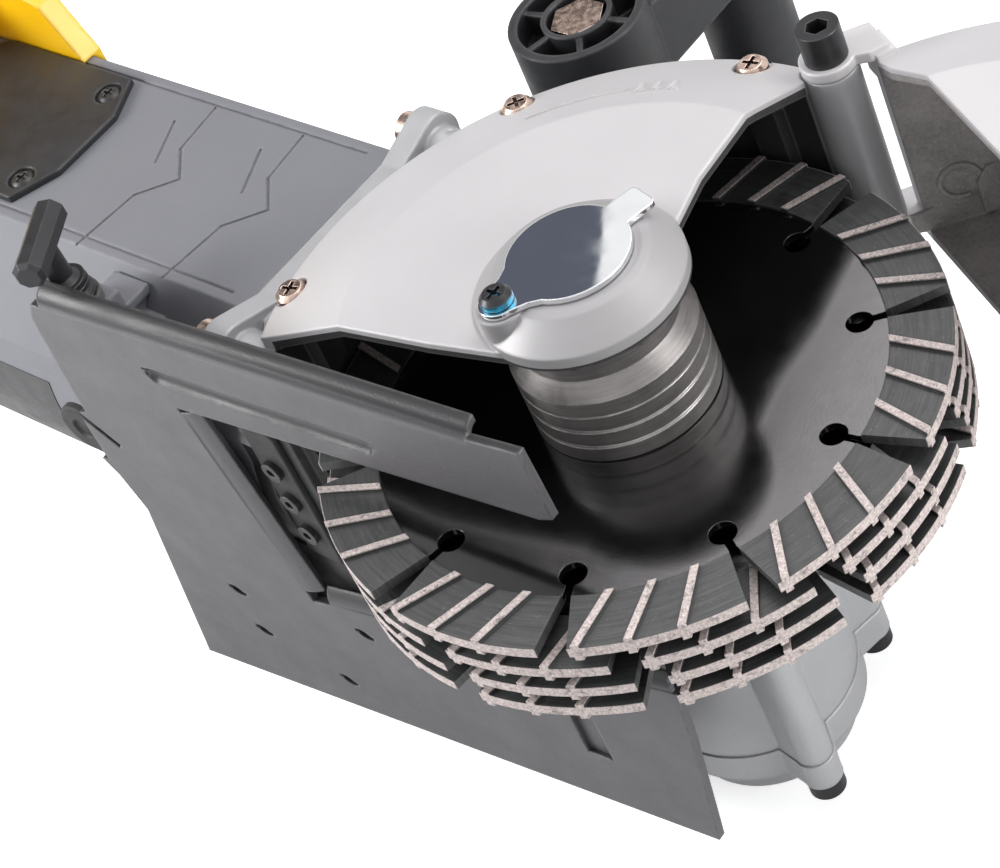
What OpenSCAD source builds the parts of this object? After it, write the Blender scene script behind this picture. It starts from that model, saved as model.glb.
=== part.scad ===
// Wall chaser: a heavy construction power tool that cuts parallel slots in masonry.
// Z runs along the blade axis, X along the motor axis with the motor towards -X,
// and the sole plate that slides on the wall is on the -Y side.
// The origin is the centre of the gear head's flat end cap, on the blade axis.
// Inside the modules, heights are taken from the top blade's segment face.

/* [Blades] */
// Diameter over the diamond segments
blade_d = 150; // [140:1:151]
// Segments on each blade
segment_count = 10; // [8:1:12]
// Radial length of a segment
segment_l = 14.7; // [11:0.1:16]
// Thickness of a segment between its ribs
segment_t = 2.6; // [2.2:0.1:3]
// Height of the raised ribs on each face of a segment
rib_h = 1.1; // [0.5:0.1:1.3]
// Width of the raised ribs
rib_w = 1.9; // [1.4:0.1:2.4]
// Thickness of the steel core
core_t = 1.8; // [1.4:0.1:2.2]
// Width of the gap between two segments at the rim
gap_w = 7.2; // [5:0.1:9]
// Diameter of the keyholes at the foot of the gaps
keyhole_d = 6.5; // [4:0.1:8]
// Radius at which the keyholes lie
keyhole_r = 54; // [50:0.5:56]
// Bore of the blades and spacers
arbor_d = 22.2; // [20:0.1:23]
// Angle of the first keyhole of the top blade
blade_turn = 7.3; // [0:0.1:36]

/* [Spacers] */
// Diameter of the spacer rings
spacer_d = 44.5; // [40:0.5:46]
// Thickness of one spacer ring
spacer_t = 4.9; // [4.5:0.1:5.5]
// Spacer rings above the top blade
upper_spacers = 3; // [2:1:3]

/* [Guard] */
// Gap between the blades and the guard wall
guard_gap = 5; // [4:0.5:7]
// Thickness of the guard wall and floor
guard_t = 3.5; // [3:0.1:4.5]
// Height of the guard wall's top edge over the blades
guard_top = 21; // [19:0.5:23]
// Thickness of the cover plates
cover_t = 3.3; // [2.5:0.1:4]
// Height of the cover's flat middle over the blades
cover_z = 34; // [33:0.5:35]
// Width of the cover's sloped border
border_w = 26; // [22:0.5:30]
// Radius of the bearing boss on the cover
boss_r = 24.6; // [22:0.2:26]
// Angle at which the front guard stands open
front_open = 62; // [0:1:85]
// Radius of the guard hinge barrel
barrel_r = 6.75; // [6:0.05:7.5]

/* [Gear head] */
// Radius of the gear head barrel
head_r = 26.5; // [25.5:0.5:28]
// Radius on which the head screws lie
head_screw_r = 32; // [31.5:0.5:35]
// Height of the head from end cap to blade face
head_h = 125; // [120:1:130]

/* [Motor housing] */
// Radius of the round underside
housing_r = 49; // [48:0.5:50]
// Depth of the motor axis under the blade face
motor_drop = 30; // [28:0.5:32]
// Half width of the flat top facet
facet_w = 28.5; // [24:0.5:32]
// Wall of the housing
housing_t = 3; // [2.4:0.1:3.4]
// Length of the housing behind the gear case
housing_l = 159; // [150:1:175]

/* [Sole plate] */
// Thickness of the sole plate's sheet
sheet_t = 2.2; // [1.6:0.1:2.4]
// Gap between the gear case and the sole plate at rest
sole_gap = 2.1; // [1.8:0.1:4]
// Angle of the sole plate to the motor axis
sole_a = 3.5; // [2:0.1:4.5]

/* [Handles] */
// Radius of the round front grip
grip_r = 12.5; // [11:0.5:15]
// Distance from the front handle's pivot to its grip
grip_reach = 53; // [50:1:70]
// Length of the rear handle behind the hood
rear_l = 118; // [100:1:140]

/* [Hidden] */
$fn = 64;

// Fits and small clearances
fit = 0.05;        // radial gap of a seated bearing or ring
run = 0.4;         // gap between pieces that move past each other
eps = 0.02;        // how far a cut passes beyond a face
tube_fn = 32;      // facets of blended outlines

// The blade stack
pitch = core_t + spacer_t;
core_top = -(segment_t - core_t) / 2;
stack_low = core_top - 3 * pitch - core_t;
stack_top = core_top + upper_spacers * spacer_t;
segment_r = blade_d / 2 - segment_l;
flange_t = 5;
phases = [0, 11, 13.9, 13.8];
arbor_r = arbor_d / 2;
shoulder_r = 12.5;

// The cover and its boss
guard_r = blade_d / 2 + guard_gap;
outer_r = guard_r + guard_t;
far = outer_r + 20;
cover_fold_r = outer_r - border_w;
boss_top = cover_z + 7.4;
boss_mouth_r = 16.2;
cover_slope = 10 / 25.5;
cover_screw_r = guard_r + 0.2;
cover_screw_angles = [-163.5, 142.8, 100];
floor_z = -33;
journal_r = 10;
journal_top = 36.3;
neck_r = 19;
cap_z = boss_top + 0.3;
cap_r = 14.5;
cap_t = 1.4;
cap_pivot = [-5.7, -18];
ear_r = 5.6;
key_hole_r = 9;

// The front guard's hinge
hinge_a = 86.41;
hinge_x = (outer_r + 1.17) * cos(hinge_a);
hinge_y = (outer_r + 1.17) * sin(hinge_a);
hinge_low = -22;
hinge_high = 25.7;
lug_t = 2.7;
hinge_screw_r = 3;
low_lug_t = 6;
front_edge_x = 17.5;
front_floor_x = 14.5;
front_floor_y = -30;

// The drive
bevel_m = 1.75;
crown_teeth = 25;
bevel_teeth = 13;
crown_r = crown_teeth * bevel_m / 2;
bevel_r = bevel_teeth * bevel_m / 2;
cone_l = norm([crown_r, bevel_r]);
bevel_w = 8;
crown_tilt = atan(bevel_r / crown_r);
gear_m = 1.6;
wheel_teeth = 37;
pinion_teeth = 13;
lay_drop = motor_drop + gear_m * (wheel_teeth + pinion_teeth) / 2;
crown_top = -lay_drop - 10.5;
gear_w = 8.5;
case_t = 7;
case_x = -outer_r - case_t - 0.5;
plate_x = case_x - 17;
gear_x = plate_x + 8;
lay_bearing_x = -62;
facet_z = housing_r + 1 - motor_drop;
facet_drop = 28;
facet_out = housing_r - 2;
sole_y = housing_r + sole_gap + case_x * tan(sole_a) + sheet_t;
housing_end = case_x - housing_l;
trigger_x = housing_end - 78;
trigger_l = 34;
armature_x = housing_end + 1.5;
head_screw_angles = [65, 155, 245, 335];
floor_screw_angles = [110, 155, 205, 250];
floor_screw_r = 29;
flange_screw_y = 38;
flange_screw_z = facet_z - 2;
stator_x = housing_end + 55;
coil_l = 9.8;
winding_l = 8;
brush_x = housing_end + 38.5;
fan_x = plate_x - 16;
fan_l = 12;
stator_l = fan_x - coil_l - 1.2 - stator_x;
bore_r = housing_r - housing_t;
core_r = bore_r - 20;
rotor_r = 5;

// The sole plate's pivot
pivot_x = case_x - 40.7;
pivot_y = 1 - sole_y;
pivot_r = 3;
lug_low = 12.3;
lug_high = 23.7;
bracket_screw_x = [pivot_x - 8.6, pivot_x + 8.6];
bracket_screw_at = 0.66;
cover_screw_x = housing_end + 61.6;
chevron_x = [case_x - 18.9, case_x - 52.4];
cover_screw_y = facet_w - 11.5;

// The dust seal strip beside the blades
strip_x = 0.4 - guard_r;
strip_y = 1.3 - sole_y;
strip_w = 10;
strip_t = 1.8;
wall_end_a = 212;
strip_flange_t = max(4, outer_r * sin(wall_end_a) + 1.8 - strip_y);
strip_screw_z = [-12.3, -24, -35.7];

// The front handle's pivot
handle_x = case_x + 16;
handle_y = outer_r + 0.5;
handle_low = -32;
handle_mid = -8;

module blade_frame() translate([0, 0, head_h]) children();
module along_x(x, y, z) translate([x, y, z]) rotate([90, 0, 90]) children();
module ring(r_out, r_in, h) {
  difference() {
    cylinder(r = r_out, h = h);
    translate([0, 0, -eps]) cylinder(r = r_in, h = h + 2 * eps);
  }
}
module x_ring(x, y, z, r_out, r_in, l) {
  translate([x, y, z]) rotate([0, 90, 0]) ring(r_out, r_in, l);
}
module x_rod(x, y, z, r, l) {
  translate([x, y, z]) rotate([0, 90, 0]) cylinder(r = r, h = l);
}
module sector_2d(r, a1, a2) {
  n = 12;
  polygon(concat([[0, 0]], [for (k = [0:n]) let (a = a1 + (a2 - a1) * k / n)
    [r * cos(a) / cos((a2 - a1) / n / 2), r * sin(a) / cos((a2 - a1) / n / 2)]]));
}
module bearing(r_in, r_out, w) {
  lip = (r_out - r_in) * 0.28;
  ring(r_in + lip, r_in, w);
  ring(r_out, r_out - lip, w);
  translate([0, 0, w * 0.12]) ring(r_out - lip + eps, r_in + lip - eps, w * 0.76);
}
module hex_socket(r_head, h_head, across, l_shank, r_shank) {
  difference() {
    cylinder(r = r_head, h = h_head);
    translate([0, 0, h_head * 0.45]) cylinder(d = across / cos(30), h = h_head, $fn = 6);
  }
  translate([0, 0, -l_shank]) cylinder(r = r_shank, h = l_shank + eps);
}
module pan_screw(r_head, h_head, l_shank, r_shank) {
  difference() {
    union() {
      cylinder(r = r_head, h = h_head * 0.55);
      translate([0, 0, h_head * 0.55]) cylinder(r1 = r_head, r2 = r_head * 0.72, h = h_head * 0.45);
    }
    for (a = [0, 90]) rotate([0, 0, a])
      translate([-r_head * 0.55, -0.5, h_head * 0.4]) cube([r_head * 1.1, 1, h_head]);
  }
  translate([0, 0, -l_shank]) cylinder(r = r_shank, h = l_shank + eps);
}

// Tooth outline of a spur gear as an involute, with play at the flanks
function inv_a(r, rb) = let (t = sqrt(max(0, pow(r / rb, 2) - 1))) t * 180 / PI - atan(t);
module gear_2d(teeth, m, play = 0.16) {
  rp = teeth * m / 2;
  rb = rp * cos(20);
  ra = rp + 0.9 * m;
  rr = rp - 1.3 * m;
  half = 90 / teeth - play / rp * 90 / PI + inv_a(rp, rb);
  flank = [for (k = [0:4]) let (r = max(rb, rr) + (ra - max(rb, rr)) * k / 4) [r, half - inv_a(r, rb)]];
  for (i = [0:teeth - 1]) rotate([0, 0, i * 360 / teeth])
    polygon(concat([[0, 0]],
      [[rr * cos(-half - 2), rr * sin(-half - 2)]],
      [for (p = flank) [p[0] * cos(-p[1]), p[0] * sin(-p[1])]],
      [for (k = [4:-1:0]) [flank[k][0] * cos(flank[k][1]), flank[k][0] * sin(flank[k][1])]],
      [[rr * cos(half + 2), rr * sin(half + 2)]]));
  circle(r = rr);
}

// ---- Blades ----
module blade_core(i) {
  difference() {
    cylinder(r = segment_r + 3, h = core_t);
    translate([0, 0, -eps]) cylinder(r = arbor_r + fit, h = core_t + 2 * eps);
    for (k = [0:segment_count - 1]) rotate([0, 0, k * 360 / segment_count]) {
      translate([keyhole_r, 0, -eps]) cylinder(d = keyhole_d, h = core_t + 2 * eps);
      translate([keyhole_r, -1, -eps]) cube([segment_r - keyhole_r + 5, 2, core_t + 2 * eps]);
      translate([0, 0, -eps]) linear_extrude(core_t + 2 * eps) segment_gap_2d();
    }
  }
}
module segment_gap_2d() {
  far = blade_d / 2 + 2;
  half = gap_w / 2 + 0.5;
  polygon([[segment_r - 1, -1], [far, -half], [far, half], [segment_r - 1, 1]]);
}
module segment_ribs_2d() {
  step = 360 / segment_count;
  for (k = [0:segment_count - 1], j = [0:2]) let (a = k * step + step * (0.28 + 0.25 * j))
    polygon([
      [(segment_r - 1) * cos(a) - rib_w / 2 * sin(a), (segment_r - 1) * sin(a) + rib_w / 2 * cos(a)],
      [(segment_r - 1) * cos(a) + rib_w / 2 * sin(a), (segment_r - 1) * sin(a) - rib_w / 2 * cos(a)],
      [blade_d / 1.98 * cos(a - 6) + rib_w / 2 * sin(a), blade_d / 1.98 * sin(a - 6) - rib_w / 2 * cos(a)],
      [blade_d / 1.98 * cos(a - 6) - rib_w / 2 * sin(a),
        blade_d / 1.98 * sin(a - 6) + rib_w / 2 * cos(a)]]);
}
module segments_2d() {
  difference() {
    circle(d = blade_d);
    circle(r = segment_r);
    for (k = [0:segment_count - 1]) rotate(k * 360 / segment_count) segment_gap_2d();
  }
}
module blade(i) {
  blade_frame() translate([0, 0, -i * pitch]) rotate([0, 0, blade_turn + phases[i]]) {
    color([0.1, 0.1, 0.11]) translate([0, 0, core_top - core_t]) blade_core(i);
    color([0.3, 0.33, 0.31]) {
      translate([0, 0, -segment_t]) linear_extrude(segment_t) segments_2d();
      for (z = [0, -segment_t - rib_h]) translate([0, 0, z]) linear_extrude(rib_h)
        intersection() {
          segments_2d();
          segment_ribs_2d();
        }
    }
  }
}
module blade_1() blade(0);
module blade_2() blade(1);
module blade_3() blade(2);
module blade_4() blade(3);

// ---- Spindle group ----
module spacer() {
  bevel = 0.5;
  difference() {
    rotate_extrude() polygon([[0, 0], [spacer_d / 2 - bevel, 0], [spacer_d / 2, bevel],
      [spacer_d / 2, spacer_t - bevel], [spacer_d / 2 - bevel, spacer_t], [0, spacer_t]]);
    translate([0, 0, -eps]) cylinder(r = arbor_r + fit, h = spacer_t + 2 * eps);
  }
}
module spacer_rings() {
  color([0.36, 0.36, 0.38]) blade_frame() {
    for (k = [0:upper_spacers - 1]) translate([0, 0, core_top + k * spacer_t]) spacer();
    for (i = [0:2]) translate([0, 0, core_top - i * pitch - core_t - spacer_t]) spacer();
  }
}
module inner_flange() {
  color([0.4, 0.4, 0.42]) blade_frame() translate([0, 0, stack_low - flange_t])
    ring(spacer_d / 2, arbor_r + fit, flange_t);
}
module clamp_flange() {
  color([0.36, 0.36, 0.38]) blade_frame() difference() {
    rotate_extrude() polygon([[0, stack_top], [spacer_d / 2, stack_top], [spacer_d / 2, stack_top + 4],
      [neck_r, stack_top + 8], [neck_r, 28.3], [journal_r + 2, 28.3], [journal_r + 2, 29.2],
      [journal_r, 29.2], [journal_r, journal_top], [0, journal_top]]);
    translate([0, 0, stack_top - eps]) cylinder(r = arbor_r + fit, h = 9.7);
    translate([0, 0, stack_top]) cylinder(r = 4.3, h = 40);
  }
}
module clamp_screw() {
  color([0.2, 0.2, 0.22]) blade_frame() translate([0, 0, journal_top]) hex_socket(6.5, 4, 6, 32, 4);
}
module spindle() {
  color([0.62, 0.62, 0.64]) blade_frame() difference() {
    rotate_extrude() polygon([[0, -117], [7.5, -117], [7.5, -105.6], [8.5, -105.6], [8.5, crown_top + 0.1],
      [10, crown_top + 0.1], [10, -37], [shoulder_r, -37], [shoulder_r, stack_low - flange_t],
      [arbor_r, stack_low - flange_t], [arbor_r, stack_top + 9.4], [0, stack_top + 9.4]]);
    translate([0, 0, 3.5]) cylinder(r = 4.05, h = 40);
  }
}
module lower_spindle_bearing() {
  color("silver") blade_frame() translate([0, 0, -117]) bearing(7.5 + fit, 17.5, 11);
}
module upper_spindle_bearing() {
  color("silver") blade_frame() translate([0, 0, -49]) bearing(10 + fit, 21, 12);
}
module spindle_seal() {
  color([0.12, 0.12, 0.12]) blade_frame() translate([0, 0, -36.8]) ring(20, shoulder_r + fit, 3.6);
}
module cover_bearing() {
  color("silver") blade_frame() translate([0, 0, 29.5]) bearing(journal_r + fit, 16, 7);
}

// ---- Gears ----
// One straight tooth of a bevel gear, pointing outward along +X from the cone's apex at the origin
module bevel_tooth(m, width, reach) {
  translate([reach - width, 0, 0]) rotate([90, 0, 90]) linear_extrude(width)
    polygon([[-0.56 * m, -1.3 * m], [0.56 * m, -1.3 * m], [0.26 * m, 0.8 * m], [-0.26 * m, 0.8 * m]]);
}
module crown_gear() {
  root = 1.2 * bevel_m;
  back = bevel_r + 8;
  color([0.55, 0.53, 0.5]) blade_frame() translate([0, 0, -lay_drop]) difference() {
    union() {
      rotate_extrude() polygon([[0, -back], [crown_r - 1, -back], [crown_r + 0.4, -bevel_r - 3.4],
        [crown_r - root * sin(crown_tilt), -bevel_r - root * cos(crown_tilt)],
        [(cone_l - bevel_w) * cos(crown_tilt) - root * sin(crown_tilt),
         -(cone_l - bevel_w) * sin(crown_tilt) - root * cos(crown_tilt)],
        [11, crown_top + lay_drop], [0, crown_top + lay_drop]]);
      for (k = [0:crown_teeth - 1]) rotate([0, 0, (k + 0.5) * 360 / crown_teeth])
        rotate([0, crown_tilt, 0]) bevel_tooth(bevel_m, bevel_w, cone_l);
    }
    translate([0, 0, -back - eps]) cylinder(r = 8.5 + fit, h = back);
  }
}
module bevel_pinion() {
  root = 1.2 * bevel_m;
  tilt = 90 - crown_tilt;
  color([0.55, 0.53, 0.5]) blade_frame() translate([0, 0, -lay_drop]) rotate([0, -90, 0])
    difference() {
      union() {
        rotate_extrude() polygon([[0, (cone_l - bevel_w) * sin(tilt) - 0.5],
          [(cone_l - bevel_w) * cos(tilt) - root * sin(tilt), (cone_l - bevel_w) * sin(tilt) - 0.5],
          [bevel_r - root * sin(tilt), crown_r + root * cos(tilt)], [bevel_r - 0.5, crown_r + 3],
          [9.5, 28], [0, 28]]);
        for (k = [0:bevel_teeth - 1]) rotate([0, 0, k * 360 / bevel_teeth])
          rotate([0, -tilt, 0]) mirror([0, 0, 1]) bevel_tooth(bevel_m, bevel_w, cone_l);
      }
      cylinder(r = 5 + fit, h = 60);
    }
}
module layshaft() {
  color([0.62, 0.62, 0.64]) blade_frame() {
    x_rod(plate_x, 0, -lay_drop, 5, -plate_x - 15);
    x_rod(case_x - 0.4, 0, -lay_drop, 7.5, lay_bearing_x + 11.6 - case_x + 0.4);
  }
}
module layshaft_gear() {
  color([0.5, 0.5, 0.5]) blade_frame() along_x(gear_x, 0, -lay_drop) difference() {
    linear_extrude(gear_w) rotate(90 + 180 / wheel_teeth) gear_2d(wheel_teeth, gear_m);
    translate([0, 0, -eps]) cylinder(r = 5 + fit, h = gear_w + 2 * eps);
    for (z = [-eps, gear_w - 2]) translate([0, 0, z]) ring(23, 11, 2 + eps);
  }
}
module layshaft_bearings() {
  color("silver") blade_frame() {
    translate([plate_x, 0, -lay_drop]) rotate([0, 90, 0]) bearing(5 + fit, 13, 7);
    translate([lay_bearing_x, 0, -lay_drop]) rotate([0, 90, 0]) bearing(7.5 + fit, 17.5, 10);
  }
}

// ---- Housings round the drive ----
// Cross-section of the motor housing, drawn with the motor axis at the origin
module facets_2d(grow) {
  top = motor_drop + facet_z;
  polygon([[-facet_w - grow / 2, top + grow], [facet_w + grow / 2, top + grow],
    [facet_out + grow, top - facet_drop], [facet_out + grow, 0],
    [-facet_out - grow, 0], [-facet_out - grow, top - facet_drop]]);
}
module housing_2d(grow = 0) {
  circle(r = housing_r + grow);
  facets_2d(grow);
}
// The same outline as a solid, from x over a length l
module housing_block(x, l, grow = 0) along_x(x, 0, -motor_drop) {
  cylinder(r = housing_r + grow, h = l);
  linear_extrude(l) facets_2d(grow);
}
module head_ears_2d(r_ear) {
  for (a = head_screw_angles) rotate(a) {
    translate([head_screw_r, 0]) circle(r = r_ear);
    polygon([[head_r * 0.8, -r_ear - 3], [head_screw_r, -r_ear],
      [head_screw_r, r_ear], [head_r * 0.8, r_ear + 3]]);
  }
}
module gear_case() {
  seam = -105;
  color([0.62, 0.63, 0.65]) blade_frame() difference() {
    union() {
      translate([0, 0, seam]) linear_extrude(floor_z - seam) {
        circle(r = head_r);
        head_ears_2d(4.6);
      }
      translate([0, 0, floor_z - 6]) cylinder(r = 34, h = 6);
      housing_block(case_x, case_t);
      hull() {
        along_x(case_x + case_t - 1, 0, -motor_drop) linear_extrude(1, $fn = tube_fn)
          difference() {
            housing_2d(-1);
            translate([-60, -80]) square([120, 60]);
          }
        translate([10 - guard_r, -0.55 * guard_r, floor_z])
          cube([1, 1.1 * guard_r, guard_top - floor_z - 3]);
      }
      hull() {
        along_x(case_x, 0, -lay_drop) cylinder(r = 38, h = 4, $fn = tube_fn);
        along_x(-60, 0, -lay_drop) cylinder(r = 23, h = 30, $fn = tube_fn);
      }
      for (m = [0, 1]) mirror([0, m, 0]) along_x(case_x, 0, 0) linear_extrude(case_t) {
        translate([flange_screw_y, flange_screw_z]) circle(r = 6.5);
        polygon([[flange_screw_y - 16, facet_z - 0.5], [flange_screw_y - 2, facet_z + 4.2],
          [flange_screw_y + 6.3, facet_z - 4], [facet_out - 1, facet_z - 26]]);
      }
      for (m = [0, 1]) mirror([0, m, 0]) along_x(case_x, 0, 0)
        translate([flange_screw_y - 1, flange_screw_z - 3]) cylinder(r1 = 7.5, r2 = 5, h = 17);
      translate([0, 0, handle_low]) linear_extrude(handle_mid - handle_low)
        polygon([[case_x, 20], [case_x + case_t, 20], [handle_x + 5, 46], [handle_x + 14, handle_y],
          [handle_x - 14, handle_y], [case_x, 48]]);
      translate([handle_x, handle_y, handle_low]) cylinder(r = 14, h = handle_mid - handle_low);
    }
    translate([0, 0, floor_z]) cylinder(r = outer_r + 0.3, h = 80);
    for (a = cover_screw_angles) rotate([0, 0, a])
      translate([cover_screw_r, 0, floor_z]) cylinder(r = 5.3, h = 80);
    translate([strip_x - strip_w / 2 - run, strip_y - 12, -56]) cube([40, 12 + 4 + run, 65]);
    translate([0, 0, -150]) cylinder(r = head_r - 3, h = 100);
    translate([0, 0, -49 - eps]) cylinder(r = 21 + fit, h = 12 + 2 * eps);
    translate([0, 0, -55]) cylinder(r = 17, h = 10);
    translate([0, 0, -40]) cylinder(r = 20 + fit, h = 20);
    x_rod(lay_bearing_x, 0, -lay_drop, 17.5 + fit, 10);
    x_rod(lay_bearing_x + 9, 0, -lay_drop, 14.5, 40);
    x_rod(case_x - eps, 0, -lay_drop, 10, 40);
    x_rod(case_x - eps, 0, -lay_drop, 33, 5);
    x_rod(case_x - eps, 0, -motor_drop, 15, 5);
    for (a = head_screw_angles) rotate([0, 0, a])
      translate([head_screw_r, 0, -110]) cylinder(r = 2.6, h = 22);
    for (a = floor_screw_angles) rotate([0, 0, a])
      translate([floor_screw_r, 0, -45]) cylinder(r = 2.4, h = 20);
    translate([handle_x, handle_y, -60]) cylinder(r = 4 + fit, h = 90);
    for (s = [-1, 1]) translate([case_x - 1, s * flange_screw_y, flange_screw_z])
      rotate([0, 90, 0]) cylinder(r = 2.6, h = 12);
  }
}
module gear_plate() {
  color([0.6, 0.61, 0.63]) blade_frame() difference() {
    union() {
      x_rod(plate_x, 0, -motor_drop, bore_r - 0.3, case_x - plate_x);
      x_rod(plate_x, 0, -lay_drop, 38, case_x - plate_x);
    }
    x_rod(gear_x - 1, 0, -lay_drop, 33, 20);
    x_rod(gear_x - 1, 0, -motor_drop, 15, 20);
    x_rod(plate_x - eps, 0, -motor_drop, 14 + fit, 7 + 2 * eps);
    x_rod(plate_x - eps, 0, -motor_drop, 8, 20);
    x_rod(plate_x - eps, 0, -lay_drop, 13 + fit, 8);
  }
}
module head_cover() {
  color([0.62, 0.63, 0.65]) blade_frame() difference() {
    union() {
      translate([0, 0, -114]) linear_extrude(9) {
        circle(r = head_r + 0.4);
        head_ears_2d(5);
      }
      translate([0, 0, -118]) cylinder(r1 = 24, r2 = head_r, h = 4);
      translate([0, 0, -105]) ring(head_r - 3.1, head_r - 5.5, 3);
    }
    translate([0, 0, -117]) cylinder(r = 17.5 + fit, h = 20);
    translate([0, 0, -119]) cylinder(r = 10, h = 5);
    for (a = head_screw_angles) rotate([0, 0, a])
      translate([head_screw_r, 0, -120]) cylinder(r = 2.6, h = 20);
  }
}
module head_cap() {
  color([0.58, 0.59, 0.61]) blade_frame() translate([0, 0, -head_h]) rotate_extrude()
    polygon([[0, 0], [20.3, 0], [22.3, 2], [22.3, 7], [9.5, 7], [9.5, 7.6], [0, 7.6]]);
}
module head_screws() {
  color([0.3, 0.3, 0.31]) blade_frame() for (a = head_screw_angles) rotate([0, 0, a])
    translate([head_screw_r, 0, -114]) rotate([180, 0, 0]) hex_socket(4.7, 4.6, 4, 18, 2.5);
}

// ---- Guard ----
module main_region_2d() {
  translate([-far, -30]) square([far + front_floor_x - 0.6, far + 30]);
  translate([-far, -44.5]) square([far - 40, 50]);
}
module blade_guard() {
  color([0.52, 0.53, 0.55]) blade_frame() difference() {
    union() {
      intersection() {
        translate([0, 0, floor_z]) ring(outer_r, guard_r, guard_top - floor_z);
        translate([0, 0, floor_z]) linear_extrude(80) sector_2d(far, 88, wall_end_a);
      }
      translate([0, 0, floor_z]) linear_extrude(guard_t) intersection() {
        circle(r = outer_r);
        main_region_2d();
      }
      for (a = cover_screw_angles) rotate([0, 0, a])
        translate([cover_screw_r, 0, floor_z]) cylinder(r = 5, h = guard_top - floor_z);
      translate([hinge_x, hinge_y, hinge_low]) cylinder(r = barrel_r, h = hinge_high - hinge_low);
      translate([strip_x - 3.4, strip_y, -52]) cube([13, strip_flange_t, 57]);
      for (a = [126, 158, 176, 195]) rotate([0, 0, a])
        translate([guard_r - 2.4, -1, floor_z]) cube([3, 2, guard_top - floor_z - 4]);
    }
    translate([0, 0, floor_z - 1]) cylinder(r = 20.5, h = 8);
    translate([0, 0, floor_z + guard_t]) cylinder(r = blade_d / 2 + 2.2, h = 80);
    translate([hinge_x, hinge_y, -40]) cylinder(r = hinge_screw_r + fit, h = 80);
    for (a = cover_screw_angles) rotate([0, 0, a])
      translate([cover_screw_r, 0, 5]) cylinder(r = 2.1, h = 40);
    for (a = floor_screw_angles) rotate([0, 0, a])
      translate([floor_screw_r, 0, -45]) cylinder(r = 2.6, h = 30);
    translate([-23, 57.5, floor_z - 1]) cylinder(r = 17.5, h = 10);
    strip_holes(1.5 + fit);
    translate([hinge_x, hinge_y, -60]) cylinder(r = barrel_r + 0.6, h = 60 + hinge_low - eps);
  }
}
module guard_screws() {
  color([0.3, 0.3, 0.31]) blade_frame() for (a = floor_screw_angles) rotate([0, 0, a])
    translate([floor_screw_r, 0, floor_z + guard_t]) hex_socket(4.3, 2, 3, 9, 2.35);
}
module cover_profile_2d() {
  r2 = outer_r;
  z2 = cover_z - (r2 - cover_fold_r) * cover_slope;
  polygon([[0, cover_z - cover_t], [cover_fold_r - 0.5, cover_z - cover_t],
    [guard_r - 1.5, guard_top + 0.7], [guard_r - 1.5, guard_top], [r2, guard_top], [r2, z2],
    [cover_fold_r, cover_z], [0, cover_z]]);
}
module bearing_cover() {
  color([0.86, 0.86, 0.87]) blade_frame() difference() {
    union() {
      intersection() {
        rotate_extrude() cover_profile_2d();
        translate([0, 0, 10]) linear_extrude(40) polygon([[-far, -40], [-73, -36.6],
          [-22.4, -28.5], [-3.3, -24.4], [14, -20], [23, -8], [23, 8], [9.7, 22.6], [5.5, 37.1], [3, 60],
          [3, far], [-far, far]]);
      }
      rotate_extrude() polygon([[0, cover_z - cover_t], [boss_r - 1, cover_z - cover_t],
        [boss_r, cover_z - cover_t + 1], [boss_r, cover_z + 1], [boss_r - 2.5, cover_z + 3.4],
        [boss_mouth_r + 2, boss_top - 0.6], [boss_mouth_r, boss_top], [0, boss_top]]);
      translate([cap_pivot[0], cap_pivot[1], cover_z - 2]) cylinder(r = ear_r, h = boss_top - cover_z + 2);
    }
    translate([0, 0, cover_z - 10]) cylinder(r = 16 + fit, h = 6.5 + 6);
    translate([0, 0, 30]) cylinder(r = key_hole_r, h = 20);
    translate([hinge_x, hinge_y, 0]) cylinder(r = barrel_r + 0.6, h = 60);
    translate([cap_pivot[0], cap_pivot[1], cover_z]) cylinder(r = 1.9, h = 20);
    for (a = cover_screw_angles) rotate([0, 0, a]) {
      translate([cover_screw_r, 0, 10]) cylinder(r = 2.2, h = 30);
      translate([cover_screw_r, 0, guard_top + 2.4]) cylinder(r = 4.6, h = 30);
    }
  }
}
module cover_screws() {
  color([0.72, 0.6, 0.5]) blade_frame() for (a = cover_screw_angles) rotate([0, 0, a])
    translate([cover_screw_r, 0, guard_top + 2.4]) pan_screw(4, 3, 12, 2);
}
module swing_cap() {
  reach = norm(cap_pivot);
  tab_r = 1.5;
  color([0.8, 0.8, 0.82]) blade_frame() translate([0, 0, cap_z]) difference() {
    linear_extrude(cap_t) {
      circle(r = cap_r);
      rotate(atan2(cap_pivot[1], cap_pivot[0])) {
        translate([reach, 0]) circle(r = 4.6);
        polygon([[6, -12], [reach - 4, -6], [reach, -4.6], [reach, 4.6], [reach - 4, 6], [6, 12]]);
      }
      rotate(76) {
        translate([cap_r - 3, -4.2]) square([8.6, 8.4]);
        translate([cap_r + 4, -4.2 + tab_r]) square([3.5, 8.4 - 2 * tab_r]);
        for (y = [-1, 1]) translate([cap_r + 6, y * (4.2 - tab_r)]) circle(r = tab_r);
      }
    }
    translate([cap_pivot[0], cap_pivot[1], -1]) cylinder(r = 2 + fit, h = 5);
  }
}
module cap_screw() {
  color([0.12, 0.12, 0.13]) blade_frame() translate([cap_pivot[0], cap_pivot[1], cap_z + cap_t + 0.2])
    pan_screw(3.8, 2.6, 8, 1.85);
}

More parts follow.
